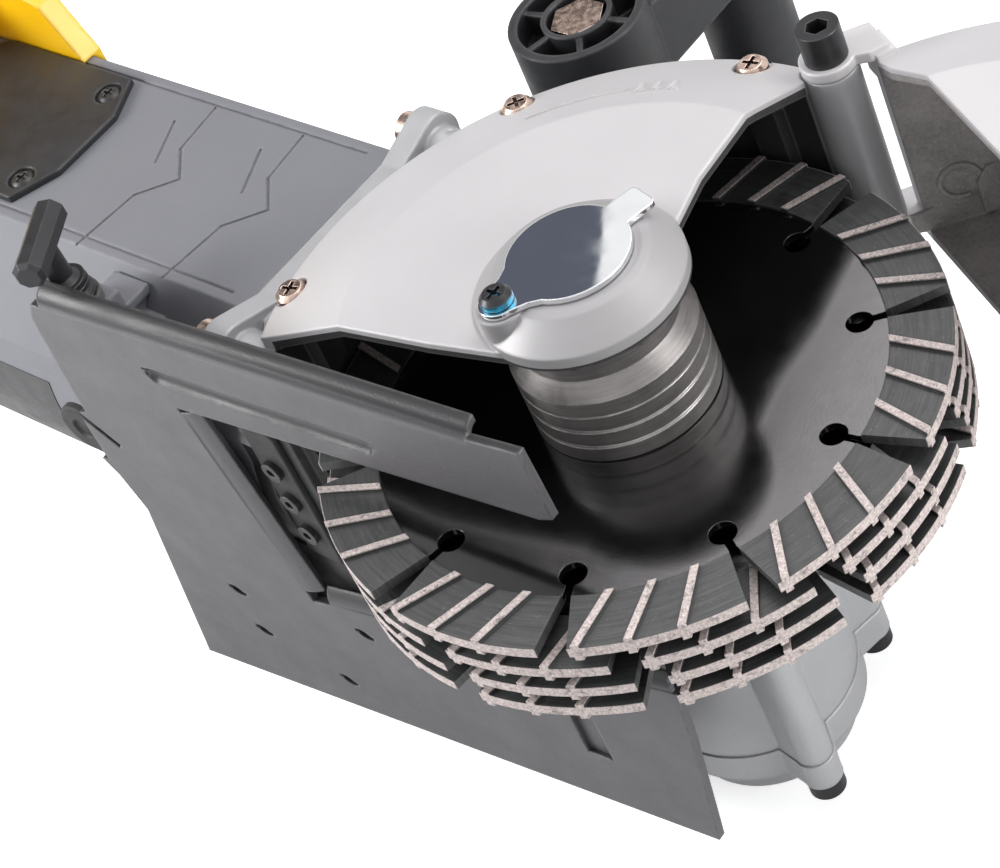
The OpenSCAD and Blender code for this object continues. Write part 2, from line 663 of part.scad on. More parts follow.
// ---- Front guard, drawn closed and then swung open ----
module swung(a) translate([hinge_x, hinge_y, 0]) rotate([0, 0, a])
  translate([-hinge_x, -hinge_y, 0]) children();
module front_guard() {
  low = floor_z + 0.4;
  color([0.78, 0.78, 0.79]) blade_frame() swung(front_open) difference() {
    union() {
      intersection() {
        rotate_extrude() cover_profile_2d();
        translate([0, 0, 10]) linear_extrude(40) polygon([[front_edge_x, -34], [far, -34],
          [far, far], [front_floor_x, far], [front_floor_x, 70], [front_edge_x, 56]]);
      }
      intersection() {
        translate([0, 0, low]) ring(outer_r, guard_r, guard_top - low);
        translate([0, 0, low]) linear_extrude(80) polygon([[front_floor_x, -34], [far, -34],
          [far, far], [front_floor_x, far]]);
      }
      translate([0, 0, low]) linear_extrude(guard_t - 0.4) intersection() {
        circle(r = outer_r);
        translate([front_floor_x, front_floor_y]) square([far, far - front_floor_y]);
      }
      for (z = [hinge_high + 0.3, hinge_low - 0.4 - low_lug_t]) {
        h = z > 0 ? lug_t : low_lug_t;
        translate([hinge_x, hinge_y, z]) cylinder(r = barrel_r, h = h);
        translate([hinge_x, hinge_y, z]) linear_extrude(h)
          polygon([[0, -2], [0, barrel_r], [13, barrel_r - 3.2], [13, -6.5], [8, -6.5]]);
      }
      translate([front_floor_x, hinge_y - 7, 18]) cube([5, 8.8, 9]);
    }
    cylinder(r = boss_r + 2.4, h = 60);
    translate([0, 0, floor_z - 1]) cylinder(r = 22, h = 10);
    translate([hinge_x, hinge_y, -40]) cylinder(r = hinge_screw_r + fit, h = 80);
  }
}
module guard_hinge_screw() {
  top = hinge_high + 0.3 + lug_t;
  bottom = hinge_low - 0.4 - low_lug_t;
  color([0.1, 0.1, 0.11]) blade_frame() translate([hinge_x, hinge_y, 0]) {
    translate([0, 0, top]) hex_socket(5.25, 9, 5, top - bottom + 5, hinge_screw_r);
    translate([0, 0, bottom - 4.2]) ring(5.2, hinge_screw_r - eps, 4);
  }
}
module seal_strip() {
  color([0.1, 0.1, 0.1]) blade_frame() difference() {
    translate([strip_x - strip_w / 2, strip_y - strip_t, -49]) cube([strip_w, strip_t, 49]);
    strip_holes(1.6);
  }
}
module strip_holes(r) {
  for (z = strip_screw_z) translate([strip_x, strip_y + 3, z]) rotate([90, 0, 0]) cylinder(r = r, h = 10);
}
module seal_screws() {
  color([0.15, 0.15, 0.15]) blade_frame() for (z = strip_screw_z)
    translate([strip_x, strip_y - strip_t, z]) rotate([90, 0, 0]) hex_socket(3, 1.6, 2.5, 4, 1.5);
}
module dust_spigot() {
  color([0.13, 0.13, 0.14]) blade_frame() translate([-23, 57.5, 0]) difference() {
    union() {
      translate([0, 0, floor_z - 38]) cylinder(r = 20, h = 38);
      translate([0, 0, floor_z - 4]) cylinder(r = 22.5, h = 4);
    }
    translate([0, 0, floor_z - 40]) cylinder(r = 17.5, h = 50);
  }
}

// ---- Motor ----
module motor_housing() {
  color([0.55, 0.55, 0.58]) blade_frame() difference() {
    housing_block(housing_end, housing_l);
    x_rod(housing_end + 8, 0, -motor_drop, bore_r, housing_l);
    x_rod(plate_x - 0.3, 0, -lay_drop, 38.3, 40);
    x_rod(housing_end - 1, 0, -motor_drop, 11 + fit, 12);
    for (m = [0, 1]) mirror([0, m, 0]) {
      for (x = chevron_x) groove([x, 0], [x - 8.6, 9]);
    }
    for (x = chevron_x) {
      groove([x - 8.6, -9], [x - 10.9, -facet_w]);
      groove([x - 8.6, 9], [x - 10.4, facet_w - 4]);
      groove([x - 12, 2.5], [x - 18.6, 16.5]);
    }
    for (m = [0, 1]) mirror([0, m, 0])
      groove([case_x - case_t, facet_w - 3], [housing_end - 1, facet_w - 3]);
    for (s = [-1, 1]) translate([cover_screw_x, s * cover_screw_y, facet_z - 6]) cylinder(r = 1.6, h = 20);
    bracket_holes(1.6);
  }
}
module bracket_holes(r) {
  for (x = bracket_screw_x) on_facet(x) translate([0, 0, -10]) cylinder(r = r, h = 20);
}
// A place on the sloped facet beside the sole plate, with +Z standing off the facet
module on_facet(x) {
  y = facet_w + (facet_out - facet_w) * bracket_screw_at;
  z = facet_z - facet_drop * bracket_screw_at;
  translate([x, -y, z]) rotate([atan2(facet_drop, facet_out - facet_w), 0, 0]) children();
}
module groove(p, q) {
  d = norm(q - p);
  translate([p[0], p[1], facet_z - 0.5]) rotate([0, 0, atan2(q[1] - p[1], q[0] - p[0])])
    translate([-0.3, -0.4, 0]) cube([d + 0.6, 0.8, 2]);
}
module flange_screws() {
  color([0.6, 0.47, 0.38]) blade_frame() for (s = [-1, 1])
    translate([case_x, s * flange_screw_y, flange_screw_z])
    rotate([0, -90, 0]) hex_socket(4.3, 5, 4, 7, 2.5);
}
module stator() {
  color([0.45, 0.45, 0.46]) blade_frame()
    x_ring(stator_x, 0, -motor_drop, bore_r - 0.2, core_r + 1, stator_l);
}
module field_coils() {
  color([0.72, 0.4, 0.2]) blade_frame() for (x = [stator_x - coil_l - 0.1, stator_x + stator_l + 0.1])
    translate([x, 0, -motor_drop]) rotate([0, 90, 0])
      for (a = [-60, 120]) linear_extrude(coil_l) difference() {
      sector_2d(bore_r - 6, a, a + 120);
      circle(r = core_r + 3);
    }
}
module armature() {
  color([0.5, 0.5, 0.5]) blade_frame() translate([0, 0, -motor_drop]) rotate([0, 90, 0]) {
    translate([0, 0, armature_x]) cylinder(r = 4, h = 10);
    translate([0, 0, armature_x + 9.9]) cylinder(r = rotor_r, h = -armature_x + plate_x - 9.9);
    translate([0, 0, plate_x - eps]) cylinder(r = 6, h = 9);
    translate([0, 0, gear_x + 0.3]) linear_extrude(gear_w) gear_2d(pinion_teeth, gear_m);
    translate([0, 0, plate_x + 8.9]) cylinder(r = 7, h = 1);
    translate([0, 0, stator_x + 3]) linear_extrude(stator_l - 6) difference() {
      circle(r = core_r);
      for (k = [0:11]) rotate(k * 30) translate([core_r - 6, -1.4]) square([8, 2.8]);
    }
  }
}
module armature_windings() {
  color([0.72, 0.4, 0.2]) blade_frame() for (x = [stator_x + 3 - winding_l, stator_x + stator_l - 3])
    translate([x, 0, -motor_drop]) rotate([0, 90, 0]) ring(core_r - 5, rotor_r + eps, winding_l);
}
module commutator() {
  color([0.7, 0.45, 0.25]) blade_frame()
    x_ring(brush_x - 7.5, 0, -motor_drop, 14, rotor_r + eps, 15);
}
module motor_fan() {
  color([0.15, 0.15, 0.16]) blade_frame() translate([fan_x, 0, -motor_drop]) rotate([0, 90, 0]) {
    ring(10, rotor_r + eps, fan_l);
    ring(bore_r - 6, 9.9, 2);
    for (k = [0:17]) rotate([0, 0, k * 20]) translate([9, -0.8, 0]) cube([bore_r - 17, 1.6, fan_l]);
  }
}
module motor_bearings() {
  color("silver") blade_frame() {
    translate([plate_x, 0, -motor_drop]) rotate([0, 90, 0]) bearing(6 + fit, 14, 7);
    translate([armature_x - 0.5, 0, -motor_drop]) rotate([0, 90, 0]) bearing(4 + fit, 11, 7);
  }
}
module brush_holders() {
  color([0.7, 0.6, 0.35]) blade_frame() for (s = [-1, 1]) translate([brush_x, 0, -motor_drop])
    scale([1, 1, s]) difference() {
      translate([-6, -6, 17]) cube([12, 12, bore_r - 19]);
      translate([-3.6, -3.1, 16]) cube([7.2, 6.2, bore_r - 20]);
    }
}
module carbon_brushes() {
  color([0.15, 0.15, 0.15]) blade_frame() for (s = [-1, 1]) translate([brush_x, 0, -motor_drop])
    scale([1, 1, s]) translate([-3.5, -3, 14.2]) cube([7, 6, 22]);
}

// ---- Rear covers and handle ----
module top_cover() {
  w = facet_w - 4.5;
  color([0.2, 0.2, 0.21]) blade_frame() difference() {
    translate([housing_end, 0, facet_z]) linear_extrude(2) polygon([[4, 6 - w], [12, -w], [64, -w],
      [70.4, -11], [70.4, 11], [64, w], [12, w], [4, w - 6]]);
    for (s = [-1, 1]) translate([cover_screw_x, s * cover_screw_y, facet_z]) {
      translate([0, 0, -6]) cylinder(r = 1.8, h = 20);
      translate([0, 0, 0.6]) cylinder(r = 3.9, h = 20);
    }
  }
}
module top_cover_screws() {
  color([0.25, 0.25, 0.26]) blade_frame() for (s = [-1, 1])
    translate([cover_screw_x, s * cover_screw_y, facet_z + 0.6]) pan_screw(3.2, 1.6, 6, 1.55);
}
module hood() {
  side = facet_w - 3.5;
  wide = facet_w + 3;
  color([0.96, 0.72, 0.05]) blade_frame() difference() {
    translate([housing_end, wide, facet_z]) rotate([90, 0, 0]) {
      for (y = [0, wide + side]) translate([0, 0, y]) linear_extrude(wide - side)
        polygon([[42, -10], [42, 0.6], [34, 18], [26, 21], [3, 22], [3, -10]]);
      linear_extrude(2 * wide) polygon([[3.4, -10], [3.4, 22], [-38, 18], [-56, -8], [-56, -20],
        [-0.4, -20], [-0.4, -10]]);
    }
    along_x(housing_end - 0.3, 0, -motor_drop) linear_extrude(200) housing_2d(0.2);
    x_rod(housing_end - 70, 0, -motor_drop, housing_r - 0.7, 75);
  }
}
// Profile of the rear handle along its axis: body, waist, grip and end
module rear_profile_2d(wall) {
  x = housing_end - 0.2;
  r = housing_r - 1;
  polygon([[x, 0], [x, r - wall], [x - 16, r - 2 - wall], [x - 40, 30 - wall], [x - 56, 25.5 - wall],
    [x - rear_l + 22, 25 - wall], [x - rear_l + 6, 27 - wall], [x - rear_l + wall, 24 - wall],
    [x - rear_l + wall, 0]]);
}
module rear_half(side) {
  color([0.16, 0.16, 0.17]) blade_frame() difference() {
    union() {
      difference() {
        half_turn(side) rear_revolve_2d(0);
        translate([0, 0, -motor_drop]) rotate([0, 90, 0]) rotate_extrude() rear_revolve_2d(3);
      }
      half_turn(side) mirror([1, -1]) {
        polygon([[trigger_x - 5, 6], [trigger_x - 2.3, 6], [trigger_x - 2.3, 23.5], [trigger_x - 5, 23.5]]);
        polygon([[trigger_x + 36.3, 6], [trigger_x + 39, 6], [trigger_x + 39, 28], [trigger_x + 36.3, 28]]);
      }
    }
    translate([trigger_x - 1, -6.5, -motor_drop - 40]) cube([trigger_l + 2, 13, 36]);
    translate([trigger_x - 14, 10, -motor_drop + 4]) rotate([-90, 0, 0]) cylinder(r = 5.4, h = 30);
    x_rod(housing_end - rear_l - 10, 0, -motor_drop, 8.2, 30);
  }
}
module half_turn(side) translate([0, 0, -motor_drop]) rotate([0, 90, 0]) rotate([0, 0, side * 90])
  rotate_extrude(angle = 180) children();
module rear_revolve_2d(wall) {
  // The profile with its length along +Y and its radius along +X
  mirror([1, -1]) rear_profile_2d(wall);
}
module rear_handle_left() rear_half(1);
module rear_handle_right() rear_half(-1);
module switch_body() {
  color([0.12, 0.12, 0.12]) blade_frame() {
    translate([trigger_x - 2, -9, -motor_drop - 9]) cube([38, 18, 19]);
    for (s = [-1, 1]) translate([trigger_x + 12, s * 9 - 0.5, -motor_drop - 2]) cube([6, 1, 8]);
  }
}
module trigger() {
  color([0.1, 0.1, 0.1]) blade_frame() difference() {
    translate([trigger_x, 6, -motor_drop]) rotate([90, 0, 0]) linear_extrude(12)
      polygon([[0, -16], [0, -28], [6, -32.5], [24, -31.5], [trigger_l, -27], [trigger_l, -16]]);
    translate([trigger_x + 4, -3, -motor_drop - 20]) cube([trigger_l - 8, 6, 10]);
  }
}
module lock_button() {
  color([0.1, 0.1, 0.1]) blade_frame() translate([trigger_x - 14, 0, -motor_drop + 4])
    rotate([-90, 0, 0]) {
      translate([0, 0, 12]) cylinder(r = 5, h = 14.5);
      translate([0, 0, 10]) cylinder(r = 7, h = 2 + eps);
    }
}
module cord_gland() {
  x = housing_end - rear_l;
  color([0.12, 0.12, 0.12]) blade_frame() translate([x - 24, 0, -motor_drop]) rotate([0, 90, 0])
    difference() {
      union() {
        cylinder(r1 = 5.5, r2 = 8, h = 38);
        translate([0, 0, 28.2]) cylinder(r = 11, h = 3);
      }
      translate([0, 0, -1]) cylinder(r = 4, h = 60);
    }
}

// ---- Sole plate and its clamp ----
module pivot_bracket() {
  color([0.14, 0.14, 0.15]) blade_frame() difference() {
    union() {
      intersection() {
        housing_block(pivot_x - 12.5, 25, 3);
        translate([pivot_x - 28, -2 * housing_r, facet_z - 28])
          cube([60, 2 * housing_r - facet_w + 1.5, 20]);
      }
      translate([pivot_x, pivot_y, lug_low + 3.3]) cylinder(r = 6.5, h = 7.8);
      translate([pivot_x - 6.3, pivot_y, lug_low + 3.3]) cube([12.6, 16, 7.8]);
      translate([pivot_x - 5, pivot_y + 7.6, 2]) cube([10, 10, lug_low + 3]);
    }
    housing_block(pivot_x - 60, 120);
    translate([pivot_x, pivot_y, 0]) cylinder(r = pivot_r + fit, h = 60);
    bracket_holes(1.8);
  }
}
module pivot_hardware() {
  color([0.7, 0.7, 0.72]) blade_frame() {
    for (x = bracket_screw_x) on_facet(x) translate([0, 0, 3.1]) pan_screw(3.4, 2.2, 7, 1.55);
    translate([pivot_x, pivot_y, lug_high + 3]) ring(6.4, pivot_r + fit, 1.2);
    translate([pivot_x, pivot_y, lug_low - 5.2]) difference() {
      cylinder(r = 5.7, h = 5, $fn = 6);
      translate([0, 0, -1]) cylinder(r = pivot_r + fit, h = 10);
    }
  }
}
module plate_frame() translate([0, -sole_y, 0]) rotate([0, 0, sole_a]) children();
// A sheet edge rolled inward, along the line from p to q in the plate's plane
module lip(p, q, r, angle) {
  translate([p[0], 0, p[1]]) rotate([0, -atan2(q[1] - p[1], q[0] - p[0]), 0]) rotate([90, 0, 90])
    linear_extrude(norm(q - p)) intersection() {
      translate([r, 0]) difference() {
        circle(r = r);
        circle(r = r - sheet_t);
      }
      translate([r, 0]) polygon([[0, 0], [-3 * r, 0], [-3 * r, 3 * r * tan(min(angle, 89) / 2) * 2],
        [-2 * r * cos(angle), 2 * r * sin(angle)]]);
    }
}
module sole_plate() {
  top = 31.5;
  color([0.27, 0.27, 0.28]) blade_frame() difference() {
    union() {
      plate_frame() {
        translate([0, sheet_t, 0]) rotate([90, 0, 0]) linear_extrude(sheet_t) polygon([
          [-135.5, top], [5, top], [5, 33.6], [20.4, 34.6], [21.4, 14], [17, 12.3], [-98, 7.6],
          [-89, -62], [34, -41], [32, -60], [25, -102.5], [-155.8, -113], [-141, -46.6],
          [-144, -34], [-148.5, -26], [-155.5, -26.7], [-153, -12.4], [-141, -9], [-141, -2.6],
          [-138.5, 26]]);
        lip([-132, top], [5, top], 5, 90);
        lip([-98, 6], [-89.4, -58], 12, 30);
        lip([-82, -61], [33, -41.4], 7, 50);
      }
      for (z = [lug_low, lug_high]) translate([pivot_x, pivot_y, z]) {
        cylinder(r = 7, h = 3);
        translate([-7, -7.8, 0]) cube([14, 7.8, 3]);
      }
    }
    translate([pivot_x, pivot_y, 0]) cylinder(r = pivot_r + fit, h = 60);
    plate_frame() {
      translate([-102.5, -1, 17.8]) cube([74.4, 1.5, 1.3]);
      for (p = [[-121.4, -71.5], [-120.4, -88], [-74.5, -69], [-94, -97]])
        translate([p[0], -1, p[1]]) rotate([0, 20, 0]) translate([-3, 0, -0.8]) cube([6, 5, 1.6]);
      translate([-146, -1, -11]) rotate([0, 42, 0]) cube([14, 5, 2]);
      translate([-8, -1, -84]) cube([8, 5, 18]);
    }
  }
}
module t_lever() {
  base = lug_high + 4.6;
  bar_z = 45;
  bar_a = 123;
  bar_l = 24;
  color([0.12, 0.12, 0.13]) blade_frame() translate([pivot_x, pivot_y, 0]) {
    translate([0, 0, lug_low - 5.6]) cylinder(r = pivot_r, h = base - lug_low + 6);
    translate([0, 0, base]) rotate_extrude() polygon([[0, 0], [6.4, 0], [5.5, 1.5], [5.9, 1.5], [5.9, 2.7],
      [5.2, 2.7], [5.2, 3.1], [5.7, 3.1], [5.7, 4.3], [4.4, 4.3], [3.3, 5.7], [3.1, bar_z - base],
      [0, bar_z - base]]);
    translate([0, 0, bar_z]) rotate([0, 0, bar_a]) rotate([0, 90, 0]) rotate([0, 0, 22.5]) {
      translate([0, 0, -bar_l / 2 + 1]) cylinder(r = 4.2, h = bar_l - 2, $fn = 8);
      for (s = [0, 1]) mirror([0, 0, s]) translate([0, 0, bar_l / 2 - 1 - eps])
        cylinder(r1 = 4.2, r2 = 3, h = 1.2, $fn = 8);
    }
  }
}

// ---- Front handle ----
module handle_arm_2d() hull() {
  translate([handle_x, handle_y]) circle(r = 14, $fn = tube_fn);
  translate([handle_x, handle_y + grip_reach]) circle(r = grip_r, $fn = tube_fn);
}
module front_handle() {
  top = 22;
  low = handle_low - 28;
  color([0.13, 0.13, 0.14]) blade_frame() difference() {
    union() {
      translate([handle_x, handle_y, handle_mid + run]) cylinder(r = 18, h = top - handle_mid - run);
      translate([handle_x, handle_y, low]) cylinder(r = 16, h = handle_low - run - low);
      translate([0, 0, -2]) linear_extrude(20) handle_arm_2d();
      translate([0, 0, low + 3]) linear_extrude(20) handle_arm_2d();
      translate([handle_x, handle_y + grip_reach, low - 4]) cylinder(r = grip_r, h = top - low + 8);
    }
    translate([handle_x, handle_y, -80]) cylinder(r = 4 + fit, h = 140);
    translate([handle_x, handle_y, 14]) difference() {
      cylinder(r = 15.5, h = 20);
      translate([0, 0, -1]) cylinder(r = 9.4, h = 30);
      for (k = [0:5]) rotate([0, 0, 12 + k * 60]) translate([8, -0.8, -1]) cube([9, 1.6, 8]);
    }
    translate([handle_x, handle_y, 16]) cylinder(r = 8, h = 20);
    translate([handle_x, handle_y, low - 1]) cylinder(r = 8.4, h = 8, $fn = 6);
  }
}
module handle_bolt() {
  low = handle_low - 28;
  color([0.55, 0.48, 0.42]) blade_frame() translate([handle_x, handle_y, 0]) {
    translate([0, 0, 16]) cylinder(r = 7.4, h = 5, $fn = 6);
    translate([0, 0, low + 1]) cylinder(r = 4, h = 15.2 - low);
    translate([0, 0, low + 1]) cylinder(r = 7.4, h = 5.8, $fn = 6);
  }
}

blade_1();
blade_2();
blade_3();
blade_4();
spacer_rings();
inner_flange();
clamp_flange();
clamp_screw();
spindle();
lower_spindle_bearing();
upper_spindle_bearing();
spindle_seal();
cover_bearing();
crown_gear();
layshaft();
bevel_pinion();
layshaft_gear();
layshaft_bearings();
gear_case();
gear_plate();
head_cover();
head_cap();
head_screws();
blade_guard();
guard_screws();
bearing_cover();
cover_screws();
swing_cap();
cap_screw();
front_guard();
guard_hinge_screw();
seal_strip();
seal_screws();
dust_spigot();
motor_housing();
flange_screws();
stator();
field_coils();
armature();
armature_windings();
commutator();
motor_fan();
motor_bearings();
brush_holders();
carbon_brushes();
top_cover();
top_cover_screws();
hood();
rear_handle_left();
rear_handle_right();
switch_body();
trigger();
lock_button();
cord_gland();
pivot_bracket();
pivot_hardware();
sole_plate();
t_lever();
front_handle();
handle_bolt();
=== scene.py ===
"""Looks for the wall chaser: materials, small dressing pieces, floor, lights and camera."""
import math

import bpy
import bmesh
from mathutils import Matrix, Vector


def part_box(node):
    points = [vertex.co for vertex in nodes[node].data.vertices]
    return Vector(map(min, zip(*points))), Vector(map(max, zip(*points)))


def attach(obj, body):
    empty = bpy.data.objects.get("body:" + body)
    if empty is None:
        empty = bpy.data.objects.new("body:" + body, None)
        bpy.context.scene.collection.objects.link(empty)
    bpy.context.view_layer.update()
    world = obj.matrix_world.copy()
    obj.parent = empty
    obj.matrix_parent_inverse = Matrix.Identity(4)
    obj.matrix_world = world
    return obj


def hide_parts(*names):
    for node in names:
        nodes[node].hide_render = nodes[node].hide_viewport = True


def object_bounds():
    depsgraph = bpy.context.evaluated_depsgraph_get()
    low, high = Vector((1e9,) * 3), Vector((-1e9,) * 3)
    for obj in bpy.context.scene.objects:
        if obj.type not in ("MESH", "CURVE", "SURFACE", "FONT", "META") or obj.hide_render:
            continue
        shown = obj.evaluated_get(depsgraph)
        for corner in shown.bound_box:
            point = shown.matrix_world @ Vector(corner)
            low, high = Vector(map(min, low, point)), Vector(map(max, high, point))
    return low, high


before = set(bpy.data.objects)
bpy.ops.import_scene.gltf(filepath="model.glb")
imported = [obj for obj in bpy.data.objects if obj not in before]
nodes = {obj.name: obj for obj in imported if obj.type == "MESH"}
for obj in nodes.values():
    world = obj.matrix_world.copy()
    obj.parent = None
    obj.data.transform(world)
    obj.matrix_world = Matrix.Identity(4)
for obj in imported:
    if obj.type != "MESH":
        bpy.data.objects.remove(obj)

cad_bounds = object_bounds()
scene = bpy.context.scene
HEAD = 0.125                 # height of the top blade's segment face over the end cap
BLADE_CORE_R = 0.060         # where a blade's black core ends and its segments start
BLADE_RIM_R = 0.07475        # where a segment's worn rim starts
SEGMENT_RIB = 0.0011         # how far a segment's ribs stand over its face
GUARD_R = 0.080              # inner radius of both guards
COVER_TOP = HEAD + 0.034     # flat top of the silver cover
COVER_T = 0.0016             # the casting stays pale down to this depth under the cover's top
FOLD_R = 0.0575              # where the cover starts to slope
SLOPE = 10 / 25.5            # fall of the cover's sloped border over its run
BOSS_R = 0.0248              # bearing boss on the cover
HINGE = Vector((0.005302, 0.084504, 0))   # pin that the front guard swings on
HINGE_R = 0.0073             # the casting stays pale within this radius of it
OPEN = math.radians(62)      # how far the front guard stands open
HOUSING_AXIS = HEAD - 0.030  # height of the motor's axis
HOUSING_R = 0.049            # outer radius of the motor housing
SOLE_Y = 0.04773             # distance of the sole plate from the blade axis
SOLE_TURN = math.radians(3.5)             # its turn away from the tool's long axis
GROOVE_R = 0.003             # radius of the long groove in the sole plate


# ---------------------------------------------------------------- shader helpers
class Shader:
    """A small wrapper round one material's node tree."""

    def __init__(self, name):
        self.mat = bpy.data.materials.new(name)
        self.mat.use_nodes = True
        self.tree = self.mat.node_tree
        self.tree.nodes.clear()
        self.out = self.node("ShaderNodeOutputMaterial")
        self.bsdf = self.node("ShaderNodeBsdfPrincipled")
        self.link(self.bsdf.outputs["BSDF"], self.out.inputs["Surface"])
        self.coord = self.node("ShaderNodeTexCoord").outputs["Object"]

    def node(self, kind, **settings):
        n = self.tree.nodes.new(kind)
        for k, v in settings.items():
            setattr(n, k, v)
        return n

    def link(self, a, b):
        self.tree.links.new(a, b)

    def put(self, socket, value):
        """Links a socket or sets a plain value."""
        if isinstance(value, bpy.types.NodeSocket):
            self.link(value, socket)
        elif isinstance(value, (tuple, list)) and len(value) == 3 and socket.type == "RGBA":
            socket.default_value = (*value, 1)
        else:
            socket.default_value = value

    def math(self, op, a, b=0.0, clamp=False):
        n = self.node("ShaderNodeMath", operation=op, use_clamp=clamp)
        self.put(n.inputs[0], a)
        self.put(n.inputs[1], b)
        return n.outputs[0]

    def noise(self, scale, detail=3.0, rough=0.55, vector=None, stretch=None):
        """Noise in object coordinates, or along the given vector."""
        vec = vector or self.coord
        if stretch:
            mp = self.node("ShaderNodeMapping")
            self.link(vec, mp.inputs["Vector"])
            mp.inputs["Scale"].default_value = stretch
            vec = mp.outputs["Vector"]
        n = self.node("ShaderNodeTexNoise")
        self.link(vec, n.inputs["Vector"])
        n.inputs["Scale"].default_value = scale
        n.inputs["Detail"].default_value = detail
        n.inputs["Roughness"].default_value = rough
        return n.outputs["Fac"]

    def polar(self, radius, x, y):
        """A vector that runs long round the axis and short across it, for turned and ground faces."""
        turn = self.math("ARCTAN2", y, x)
        vec = self.node("ShaderNodeCombineXYZ")
        self.link(self.scaled(radius, 20.0), vec.inputs[0])
        self.link(self.scaled(turn, 0.06), vec.inputs[1])
        return vec.outputs[0]

    def span(self, value, low, high, to_low=0.0, to_high=1.0):
        """A value from low to high, laid over to_low to to_high and held at its ends."""
        n = self.node("ShaderNodeMapRange", clamp=True)
        self.put(n.inputs["Value"], value)
        for key, v in (("From Min", low), ("From Max", high), ("To Min", to_low), ("To Max", to_high)):
            n.inputs[key].default_value = v
        return n.outputs["Result"]

    def mix(self, fac, a, b):
        n = self.node("ShaderNodeMix", data_type="RGBA")
        self.put(n.inputs["Factor"], fac)
        self.put(n.inputs[6], a)
        self.put(n.inputs[7], b)
        return n.outputs[2]

    def between(self, noise, a, b):
        """Two colors mixed over the middle of a noise."""
        return self.mix(self.span(noise, 0.3, 0.7), a, b)

    def mix_value(self, fac, a, b):
        n = self.node("ShaderNodeMix", data_type="FLOAT")
        self.put(n.inputs["Factor"], fac)
        self.put(n.inputs[2], a)
        self.put(n.inputs[3], b)
        return n.outputs[0]

    def scaled(self, value, k):
        return self.math("MULTIPLY", value, k)

    def place(self):
        """The shaded point's x, y and z in the object's own frame."""
        parts = self.node("ShaderNodeSeparateXYZ")
        self.link(self.coord, parts.inputs[0])
        return parts.outputs

    def radius_about(self, centre):
        """Distance from an upright axis through centre."""
        x, y, z = self.place()
        dx = self.math("SUBTRACT", x, centre[0])
        dy = self.math("SUBTRACT", y, centre[1])
        squares = self.math("ADD", self.math("MULTIPLY", dx, dx), self.math("MULTIPLY", dy, dy))
        return self.math("SQRT", squares)

    def hollows(self, reach, low, high):
        """1 in corners and pits, 0 on open faces."""
        n = self.node("ShaderNodeAmbientOcclusion", samples=6)
        n.inputs["Distance"].default_value = reach
        return self.span(n.outputs["AO"], low, high, 1.0, 0.0)

    def rounded(self, radius):
        n = self.node("ShaderNodeBevel", samples=6)
        n.inputs["Radius"].default_value = radius
        return n.outputs["Normal"]

    def edges(self, radius, start=0.02, end=0.16):
        """1 along outer and inner edges, 0 on open faces."""
        soft = self.rounded(radius)
        geo = self.node("ShaderNodeNewGeometry").outputs["Normal"]
        dot = self.node("ShaderNodeVectorMath", operation="DOT_PRODUCT")
        self.link(soft, dot.inputs[0])
        self.link(geo, dot.inputs[1])
        return self.span(dot.outputs["Value"], 1 - end, 1 - start, 1.0, 0.0)

    def bump(self, height, strength, distance, normal=None):
        n = self.node("ShaderNodeBump")
        n.inputs["Strength"].default_value = strength
        n.inputs["Distance"].default_value = distance
        self.link(height, n.inputs["Height"])
        if normal is not None:
            self.link(normal, n.inputs["Normal"])
        return n.outputs["Normal"]


def shade(color, k):
    """The color k times as bright, held between 0 and 1."""
    return tuple(max(0.0, min(1.0, c * k)) for c in color)


